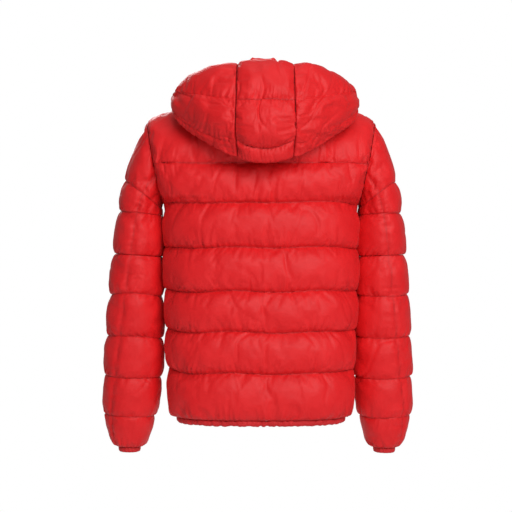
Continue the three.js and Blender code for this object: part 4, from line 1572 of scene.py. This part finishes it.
@dataclass(frozen=True)
class Hood:
    """The hood, lying on the shoulders: three panels, a rim and the underside at the neck.

    Attributes:
        shift: how far the hood lies to the wearer's right, as a negative number.
        padding: thickness of shell, down and backing.
        groove: how deep a seam sinks.
        end_padding: share of the padding that is left at the hood's ends.
        panel_seam: share of the half-width at which the centre panel ends.
        rim_height: height of the bound edge.
        rim_lift: thickness beside the bound edge.
        length: length of cloth from the rim to the lower fold.
        half_girth: length of cloth from the centre line to one end.
        cross_seam: share along the hood of the centre panel's middle seam.
        lower_seam: the same of its lower seam.
        lower_bow: how far the lower seam rises at its ends.
    """

    shift: float = -8.0
    padding: float = 12.0
    groove: float = 8.0
    end_padding: float = 0.4
    panel_seam: float = 0.268
    rim_height: float = 7.0
    rim_lift: float = 4.5
    length: float = 310.0
    half_girth: float = 230.0
    cross_seam: float = 0.52
    lower_seam: float = 0.88
    lower_bow: float = 0.036

    KNOTS = (0, 0.3, 0.6, 0.85, 1)
    LINES = {
        "rim": [(0, 108, 43), (56, 100, 41), (96, 70, 29), (116, 20, 22), (112, -26, 14)],
        "crown": [(0, 162, 32), (60, 154, 32), (122, 114, 23), (148, 44, 14), (124, -28, 12)],
        "back": [(0, 198, -30), (62, 190, -30), (148, 134, -14), (172, 66, -2), (132, -26, 6)],
        "belly": [(0, 206, -92), (63, 196, -84), (154, 138, -48), (180, 74, -20), (134, -24, 2)],
        "keel": [(0, 174, -150), (58, 168, -136), (140, 122, -82), (172, 76, -40), (128, -22, -2)],
        "tuck": [(0, 146, -76), (54, 138, -66), (118, 92, -34), (140, 46, -6), (116, -22, 0)],
        "seam": [(0, 104, 2), (46, 96, 4), (92, 50, 10), (104, 8, 12), (104, -28, 6)],
    }
    SHELL = ("rim", "crown", "back", "belly", "keel")
    NAPE = ("keel", "tuck", "seam")

    def line(self, name: str, across: Array) -> Array:
        """Reads one named line of the hood at shares of its half-width.

        Args:
            name: the line's name.
            across: share of the half-width, from right (-1) to left (1).

        Returns:
            Points in millimetres.
        """
        points = np.array(self.LINES[name], float)
        curve = np.concatenate([points[:0:-1] * [-1, 1, 1], points])
        knots = np.concatenate([-np.array(self.KNOTS[:0:-1], float), self.KNOTS])
        i = np.clip(np.searchsorted(knots, across, side="left") - 1, 0, len(knots) - 2)
        before, after = np.maximum(i - 1, 0), np.minimum(i + 2, len(knots) - 1)
        span = (knots[i + 1] - knots[i])[..., None]
        first = (curve[i + 1] - curve[before]) / (knots[i + 1] - knots[before])[..., None]
        second = (curve[after] - curve[i]) / (knots[after] - knots[i])[..., None]
        t = (across - knots[i])[..., None] / span
        t2, t3 = t * t, t * t * t
        return (curve[i] * (2 * t3 - 3 * t2 + 1) + first * (t3 - 2 * t2 + t) * span
                + curve[i + 1] * (3 * t2 - 2 * t3) + second * (t3 - t2) * span)

    def surface(self, names: tuple[str, ...], across: Array, along: Array) -> Array:
        """Returns points of the smooth surface through the named lines.

        Args:
            names: the lines, in order.
            across: share of the half-width, from right (-1) to left (1).
            along: share of the way from the first line to the last.

        Returns:
            Points in millimetres.
        """
        lines = [self.line(name, across) for name in names]
        lines = [2 * lines[0] - lines[1], *lines, 2 * lines[-1] - lines[-2]]
        place = np.clip(along, 0, 1) * (len(names) - 1)
        whole = np.minimum(np.floor(place), len(names) - 2).astype(int)
        w = (place - whole)[..., None]
        total = np.zeros((*np.shape(across), 3))
        for number in range(len(names) - 1):
            p0, p1, p2, p3 = lines[number:number + 4]
            d0, d1, d2 = (np.maximum(np.sum((b - a) ** 2, axis=-1, keepdims=True) ** 0.25, 1e-4)
                          for a, b in ((p0, p1), (p1, p2), (p2, p3)))
            t1 = ((p1 - p0) / d0 - (p2 - p0) / (d0 + d1) + (p2 - p1) / d1) * d1
            t2 = ((p2 - p1) / d1 - (p3 - p1) / (d1 + d2) + (p3 - p2) / d2) * d1
            c2, c3 = -3 * p1 + 3 * p2 - 2 * t1 - t2, 2 * p1 - 2 * p2 + t1 + t2
            here = p1 + w * (t1 + w * (c2 + w * c3))
            total = np.where((whole == number)[..., None], here, total)
        return total

    def point(self, names: tuple[str, ...], across: Array, along: Array, lift: Array) -> Array:
        """Returns points above the hood's lines.

        Args:
            names: the lines the surface runs through.
            across: share of the half-width, from right (-1) to left (1).
            along: share of the way from the first line to the last.
            lift: distance away from the inside of the hood.

        Returns:
            Points in millimetres.
        """
        across, along, lift = (np.array(a, float) for a in np.broadcast_arrays(across, along, lift))
        step = 0.01
        at = self.surface(names, across, along)
        wide = (self.surface(names, np.minimum(1, across + step), along)
                - self.surface(names, np.maximum(-1, across - step), along))
        long = (self.surface(names, across, np.minimum(1, along + step))
                - self.surface(names, across, np.maximum(0, along - step)))
        normal = np.cross(wide, long)
        normal = normal / np.maximum(np.linalg.norm(normal, axis=-1, keepdims=True), 1e-9)
        thin = mix(1.0, self.end_padding, smooth((np.abs(across) - self.KNOTS[2]) / (1 - self.KNOTS[2])))
        at = at + normal * (lift * thin)[..., None]
        at[..., 0] += self.shift
        return at

    def panel(self, name: str, word: str, start: float, end: float, seed: int,
              finish: bpy.types.Material) -> None:
        """Builds and dresses one of the three panels of the hood's shell.

        Args:
            name: the piece's name.
            word: the CAD node's name for it.
            start: share across at its inner seam.
            end: share across at its other edge.
            seed: which pattern its folds follow.
            finish: the shell's material.
        """
        columns = 70 if word == "centre" else 104
        across = np.linspace(start, end, columns)[None, :]
        cross = self.cross_seam
        bow = self.lower_bow * (across / self.panel_seam) ** 2 if word == "centre" else 0 * across
        keel = self.lower_seam - bow
        bands = ((0.04, cross, 34), (cross, keel, 40), (keel, 0.992, 12))
        along, t, index, tall = [], [], [], []
        for number, (low, high, count) in enumerate(bands):
            for s in packed_rows(count)[:-1]:
                along.append((mix(low, high, s) + 0 * across)[0])
                t.append(s + 0 * across[0])
                index.append(number + 0 * across[0])
                tall.append(((high - low) * self.length + 0 * across)[0])
        along.append(0.992 + 0 * across[0])
        t.append(1.0 + 0 * across[0])
        index.append(len(bands) - 1 + 0 * across[0])
        tall.append(28.0 + 0 * across[0])
        along, t, index, tall = (np.array(a, float) for a in (along, t, index, tall))
        across = across + 0 * along
        near_seam = np.abs(across - start) * self.half_girth
        u = near_seam + 40 * seed
        v = along * self.length
        width = abs(end - start) * self.half_girth
        far_end = width - near_seam
        reach = 22.0
        to_edge = np.minimum(near_seam, far_end) if word == "centre" else near_seam
        full = np.sqrt(np.clip(1 - (1 - np.clip(to_edge / reach, 0, 1)) ** 2, 0, 1))
        quilt = Quilting(groove=self.groove, fullest=0.55, pucker=2.2, reach=16, lump=1.3, crease=3.2,
                         seed=seed)
        strength = 1.0 if word == "centre" else 0.45
        swell = quilt.swell(t)
        swell = np.where(index == 0, mix(1.0, swell, strength), swell)
        swell = np.where((index == 1) & (t < 0.5), mix(1.0, swell, strength), swell)
        if word != "centre":
            swell = np.where((index == 2) | ((index == 1) & (t > 0.5)), mix(1.0, swell, 0.3), swell)
        edges = (along < 0.05) | (along > 0.99)
        swell = np.where(edges, np.minimum(swell, 0.2), swell)
        sink = quilt.folds(u, v, t * tall, (1 - t) * tall, index)
        beside = Ripple(seed + 300, 16, 90).at(v, 0 * v)
        pulls = np.exp(-((beside / 0.45) ** 2)) * np.exp(-((near_seam / 20) ** 1.5))
        if word == "centre":
            other = Ripple(seed + 310, 16, 90).at(v, 0 * v)
            pulls = 0.7 * (pulls + np.exp(-((other / 0.45) ** 2)) * np.exp(-((far_end / 20) ** 1.5)))
        sink = sink + 2.2 * pulls
        relief = np.clip(sink, -2.2, 4) * smooth(to_edge / 8) * smooth((0.99 - along) / 0.03)
        inset = self.groove * (1 - swell * full) + relief
        inset = inset * mix(0.55, 1.0, smooth((along - 0.03) / 0.06))
        inset = np.minimum(inset, self.padding - 3)
        full_lift = mix(self.rim_lift, self.padding, smooth((along - 0.04) / 0.3))
        outer = self.point(self.SHELL, across, along, np.maximum(full_lift - inset, 2.2))
        # Where the painted seam shade goes: along the panel's edges and, on the centre panel, its two cross
        # seams.
        marked = 1.0 if word == "centre" else 0.0
        crossing = np.exp(-((np.abs(along - cross) * self.length / 1.5) ** 2)) * marked
        lower = np.exp(-((np.abs(along - keel) * self.length / 1.2) ** 2)) * marked
        seam = np.maximum.reduce([crossing, lower, np.exp(-((to_edge / 1.2) ** 2))])
        held = np.where((t == 0) | (t == 1) | (to_edge < 0.5), 1.0, 0.0)
        held[:, 0] = held[:, -1] = 1.0
        inner = self.point(self.SHELL, across, along, 0 * along)
        outer = Inflation(spare=0.05, cap=4.0).apply(outer, inner, held, False)
        made = Maker.closed(name, outer, inner, u, v, seam, False)
        dress(made, finish)
        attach(made, Body.HOOD.value)
        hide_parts(f"hood_{word}")
        log.info("%s: %d points", name, len(made.data.vertices))

    def nape(self, side: Side, finish: bpy.types.Material) -> None:
        """Builds and dresses one half of the underside, which bends as the hood lifts.

        Args:
            side: which half.
            finish: the shell's material.
        """
        across = side.sign * np.linspace(0, 1, 90)[None, :]
        along = np.linspace(0.03, 1, 60)[:, None] + 0 * across
        across = across + 0 * along
        u, v = np.abs(across) * self.half_girth, along * 180
        # Both halves read the same folds at the middle, so that they meet.
        meet = smooth(np.abs(across) * self.half_girth / 12)
        ends = smooth((1 - along) / 0.1)
        folds = Ripple(61, 60, 60).at(u, v) * 1.2 * meet * ends * smooth((along - 0.03) / 0.1)
        outer = self.point(self.NAPE, across, along, np.clip(folds, -0.5, 2.5))
        half = self.padding / 2
        inner = self.point(self.NAPE, across, np.maximum(along, 0.12 - (1 - along) * 0.02), half + 0 * along)
        made = Maker.closed(f"hood_underside_{side.value}", outer, inner, u, v, 0 * u, False)
        dress(made, finish)
        sign = side.sign
        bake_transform(made, Body.JACKET.value, Body.HOOD.value,
                 start=(sign * 0.0196, 0.0252, -0.0459), end=(sign * 0.0445, 0.0572, -0.1041))
        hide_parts("hood_nape")
        log.info("hood_underside_%s: %d points", side.value, len(made.data.vertices))

    def rim(self, finish: bpy.types.Material) -> None:
        """Builds and dresses the rim's bound edge.

        Args:
            finish: the binding's material.
        """
        across = np.linspace(-1, 1, 260)
        section = [(0.0, self.rim_height * 0.85), (0.0, 1.2), (0.006, 0.2), (0.02, -0.3), (0.033, 0.4),
                   (0.0345, 2), (0.0345, self.rim_height), (0.01, self.rim_height)]
        along, inset = (np.array(a)[:, None] + 0 * across[None, :] for a in zip(*section))
        u = across[None, :] * self.half_girth + 0 * along
        ribs = Ripple(71, 10, 60).at(u, 0 * u)
        lift = inset - 0.35 * np.clip(ribs, -1, 1) * (inset < 3)
        grid = self.point(self.SHELL, across[None, :] + 0 * along, along, lift)
        made = Hem.tube("hood_edge", grid, u, along * 300)
        dress(made, finish)
        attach(made, Body.HOOD.value)
        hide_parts("hood_rim")
        log.info("hood_edge: %d points", len(made.data.vertices))

    def build(self, finish: bpy.types.Material, binding: bpy.types.Material) -> None:
        """Builds the whole hood.

        Args:
            finish: the shell's material.
            binding: the rim's material.
        """
        seam, margin = self.panel_seam, GAP / 2 / 84
        self.panel("hood_middle_panel", "centre", -seam + margin, seam - margin, 3, finish)
        self.panel("hood_left_panel", "left", seam + margin, 1.0, 4, finish)
        self.panel("hood_right_panel", "right", -seam - margin, -1.0, 5, finish)
        for side in Side:
            self.nape(side, finish)
        self.rim(binding)


# ---- Zips ----


@dataclass(frozen=True)
class ToothRow:
    """Rows of moulded teeth along a tape.

    Attributes:
        pitch: distance from tooth to tooth.
        size: each tooth's width, depth and height.
    """

    pitch: float = 2.6
    size: tuple[float, float, float] = (2.7, 2.8, 1.35)

    def tooth(self) -> tuple[Array, list[list[int]]]:
        """Models one tooth and returns its points, in millimetres, and its faces."""
        bpy.ops.object.select_all(action="DESELECT")
        bpy.ops.mesh.primitive_cube_add(size=1)
        made = bpy.context.active_object
        bpy.ops.object.mode_set(mode="EDIT")
        bpy.ops.mesh.select_all(action="SELECT")
        bpy.ops.transform.resize(value=self.size)
        bpy.ops.mesh.bevel(offset=0.3, segments=1, affect="EDGES")
        bpy.ops.object.mode_set(mode="OBJECT")
        points = np.array([v.co[:] for v in made.data.vertices])
        faces = [list(p.vertices) for p in made.data.polygons]
        mesh = made.data
        bpy.data.objects.remove(made)
        bpy.data.meshes.remove(mesh)
        return points, faces


@dataclass(frozen=True)
class FrontZip:
    """Both tapes of the front zip with their teeth.

    Attributes:
        pattern: the body's sizes.
        top_z: height of the tapes' upper end.
        tape_inner: distance of a tape's inner edge from the centre line.
        tape_outer: the same of its outer edge.
        tape_thickness: thickness of a tape.
        stop: distance from the upper end to the first tooth.
        retainer: height of the box at the foot.
    """

    pattern: Pattern
    top_z: float = 18.4
    tape_inner: float = 1.4
    tape_outer: float = 5.6
    tape_thickness: float = 1.5
    stop: float = 5.0
    retainer: float = 9.0

    def basis(self) -> tuple[Array, Array, float]:
        """Returns the zip's origin, its axes as rows and its length."""
        cut = self.pattern
        up = np.array([0, cut.front_slope, 1.0])
        up = up / np.linalg.norm(up)
        out = np.array([0, -up[2], up[1]])
        across = np.cross(up, out)
        origin = np.array([0, -(float(cut.front_depth(self.top_z)) - cut.tape_inset), self.top_z])
        return origin, np.stack([across, -out, up]), (self.top_z - cut.hem_z) / up[2]

    def build(self, side: Side, tape_finish: bpy.types.Material, tooth_finish: bpy.types.Material) -> None:
        """Builds and dresses one tape.

        Args:
            side: which tape.
            tape_finish: the tape's material.
            tooth_finish: the teeth's material.
        """
        origin, axes, length = self.basis()
        sign = side.sign
        row = ToothRow()
        tooth, faces = row.tooth()
        points, polygons, kinds = [], [], []
        middle = (self.tape_inner + self.tape_outer) / 2
        # The tape: a strip with ribs across it.
        rows = 340
        z = np.linspace(0, -length, rows)
        x = np.array([self.tape_inner, self.tape_inner + 0.6, middle,
                      self.tape_outer - 0.4, self.tape_outer]) * sign
        rise = np.array([0, 0.12, 0.18, 0.1, 0])
        u, v = x[None, :] + 0 * z[:, None], z[:, None] + 0 * x[None, :]
        front = stack(u, -rise[None, :] + 0.05 * np.sin(v * 2), v)
        back = stack(u, self.tape_thickness + 0 * v, v)
        tape = Maker.closed("tape", front, back, u, v, 0 * v, False)
        tape_points = np.array([v.co[:] for v in tape.data.vertices]) / MM
        points.append(tape_points)
        polygons += [list(p.vertices) for p in tape.data.polygons]
        kinds += [0] * len(tape.data.polygons)
        mesh = tape.data
        bpy.data.objects.remove(tape)
        bpy.data.meshes.remove(mesh)
        start = len(tape_points)
        offset = 0 if side is Side.LEFT else row.pitch / 2
        foot = self.retainer + 2 if side is Side.LEFT else 1
        count = int((length - self.stop - foot) / row.pitch)
        for number in range(count):
            height = -self.stop - offset - number * row.pitch - 1
            points.append(tooth + np.array([sign * (self.tape_inner - 0.2 + row.size[0] / 2), 0.0, height]))
            polygons += [[start + k for k in f] for f in faces]
            kinds += [1] * len(faces)
            start += len(tooth)
        if side is Side.LEFT:
            block = tooth * np.array([2.45, 1.4, self.retainer / row.size[2]])
            points.append(block + np.array([middle - 1.2, 0.1, -length + self.retainer / 2]))
            polygons += [[start + k for k in f] for f in faces]
            kinds += [1] * len(faces)
        placed = (np.concatenate(points) @ axes + origin) * MM
        mesh = bpy.data.meshes.new(f"zip_tape_{side.value}")
        mesh.from_pydata(placed.tolist(), [], polygons)
        made = bpy.data.objects.new(f"zip_tape_{side.value}", mesh)
        bpy.context.scene.collection.objects.link(made)
        Solid.face_out(made)
        flat = np.concatenate(points)
        Maker.attributes(made, flat[:, 0], flat[:, 2], np.zeros(len(flat)))
        mesh.materials.append(tape_finish)
        mesh.materials.append(tooth_finish)
        mesh.polygons.foreach_set("material_index", np.array(kinds, dtype=np.int32))
        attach(made, Body.JACKET.value)
        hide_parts(f"front_zip_{side.value}")
        log.info("zip_tape_%s: %d teeth", side.value, count)


# ---- Setting ----


@dataclass(frozen=True)
class Studio:
    """Camera, soft lights, pale floor and white surround.

    Attributes:
        eye: where the camera stands, in metres.
        lens: its focal length, in millimetres.
        floor_z: height of the floor, in metres.
    """

    eye: tuple[float, float, float] = (0.010, 2.360, -0.328)
    lens: float = 80.86
    floor_z: float = -1.15

    def camera(self) -> None:
        """Sets the scene's camera, level and square to the back."""
        data = bpy.data.cameras.new("camera")
        data.lens = self.lens
        data.sensor_width = 36
        data.clip_end = 100
        made = bpy.data.objects.new("camera", data)
        made.location = self.eye
        made.rotation_euler = (math.radians(90), 0, math.radians(180))
        bpy.context.scene.collection.objects.link(made)
        bpy.context.scene.camera = made

    def lamp(self, name: str, place: tuple[float, float, float], target: tuple[float, float, float],
             size: float, power: float) -> None:
        """Adds a square soft light that faces a target.

        Args:
            name: the light's name.
            place: where it stands, in metres.
            target: where it points.
            size: length of its side.
            power: its power in watts.
        """
        data = bpy.data.lights.new(name, "AREA")
        data.shape = "SQUARE"
        data.size = size
        data.energy = power
        made = bpy.data.objects.new(name, data)
        made.location = place
        away = np.array(place) - np.array(target)
        yaw = math.atan2(away[0], -away[1])
        pitch = math.atan2(math.hypot(away[0], away[1]), away[2])
        made.rotation_euler = (pitch, 0, yaw)
        bpy.context.scene.collection.objects.link(made)

    def build(self) -> None:
        """Builds the setting."""
        middle = (0.0, 0.05, -0.35)
        self.lamp("key", (-0.9, 2.8, 0.8), middle, 1.8, 68)
        self.lamp("overhead", (0.0, 0.4, 2.5), middle, 1.2, 12)
        self.lamp("fill_front", (0.6, -2.7, 1.0), middle, 1.6, 56)
        world = bpy.data.worlds.new("surround")
        world.use_nodes = True
        tree = world.node_tree
        light = tree.nodes["Background"]
        light.inputs["Color"].default_value = (1, 1, 1, 1)
        light.inputs["Strength"].default_value = 0.26
        seen = node(tree, "ShaderNodeBackground")
        seen.inputs["Strength"].default_value = 1.0
        seen.inputs["Color"].default_value = (1, 1, 1, 1)
        path = node(tree, "ShaderNodeLightPath")
        both = node(tree, "ShaderNodeMixShader")
        tree.links.new(path.outputs["Is Camera Ray"], both.inputs["Fac"])
        tree.links.new(light.outputs["Background"], both.inputs[1])
        tree.links.new(seen.outputs["Background"], both.inputs[2])
        tree.links.new(both.outputs["Shader"], tree.nodes["World Output"].inputs["Surface"])
        bpy.context.scene.world = world
        bpy.context.scene.view_settings.view_transform = "Standard"
        self.floor()

    def floor(self) -> None:
        """Lays the plain pale floor."""
        bpy.ops.object.select_all(action="DESELECT")
        bpy.ops.mesh.primitive_plane_add(size=60, location=(0, 0, self.floor_z))
        floor = bpy.context.active_object
        floor.name = "floor"
        finish = bpy.data.materials.new("floor_paint")
        finish.use_nodes = True
        shader = finish.node_tree.nodes["Principled BSDF"]
        shader.inputs["Base Color"].default_value = (0.7, 0.7, 0.7, 1)
        shader.inputs["Roughness"].default_value = 0.9
        shader.inputs["Specular IOR Level"].default_value = 0.1
        tree = finish.node_tree
        bright = node(tree, "ShaderNodeEmission")
        path = node(tree, "ShaderNodeLightPath")
        both = node(tree, "ShaderNodeMixShader")
        tree.links.new(path.outputs["Is Camera Ray"], both.inputs["Fac"])
        tree.links.new(shader.outputs["BSDF"], both.inputs[1])
        tree.links.new(bright.outputs["Emission"], both.inputs[2])
        tree.links.new(both.outputs["Shader"], tree.nodes["Material Output"].inputs["Surface"])
        floor.data.materials.append(finish)


def main() -> None:
    """Builds every piece in order."""
    studio = Studio()
    studio.camera()
    pattern = Pattern()
    shell, hood_cloth_shaded, lining = SHELL.material(), HOOD.material(), LINING.material()
    binding, tape, teeth, steel = BINDING.material(), TAPE.material(), TEETH.material(), STEEL.material()
    panels = (("back", Face.BACK, None, 1), ("front_left", Face.FRONT, Side.LEFT, 6),
              ("front_right", Face.FRONT, Side.RIGHT, 8))
    for word, face, side, seed in panels:
        panel = Panel(pattern, f"{word}_panel", word, face, side, Quilting(groove=pattern.groove, seed=seed))
        dress(panel.build(), shell)
        panel.lining(lining)
    Hem(pattern).build(binding)
    Collar(pattern).build(shell)
    for side, seed in ((Side.LEFT, 11), (Side.RIGHT, 15)):
        Sleeve(pattern, side, seed).build(shell, binding)
    Hood().build(hood_cloth_shaded, binding)
    for side in Side:
        FrontZip(pattern).build(side, tape, teeth)
    kept = {"hang_loop": binding, "front_slider": steel, "front_pull": steel}
    for side in Side:
        kept[f"pocket_zip_{side.value}"] = tape
        kept[f"pocket_slider_{side.value}"] = steel
        kept[f"pocket_pull_{side.value}"] = steel
    for name, finish in kept.items():
        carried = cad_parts[name]
        carried.data.materials.clear()
        carried.data.materials.append(finish)
        log.info("%s: carried over", name)
    studio.build()


if __name__ == "__main__":
    main()
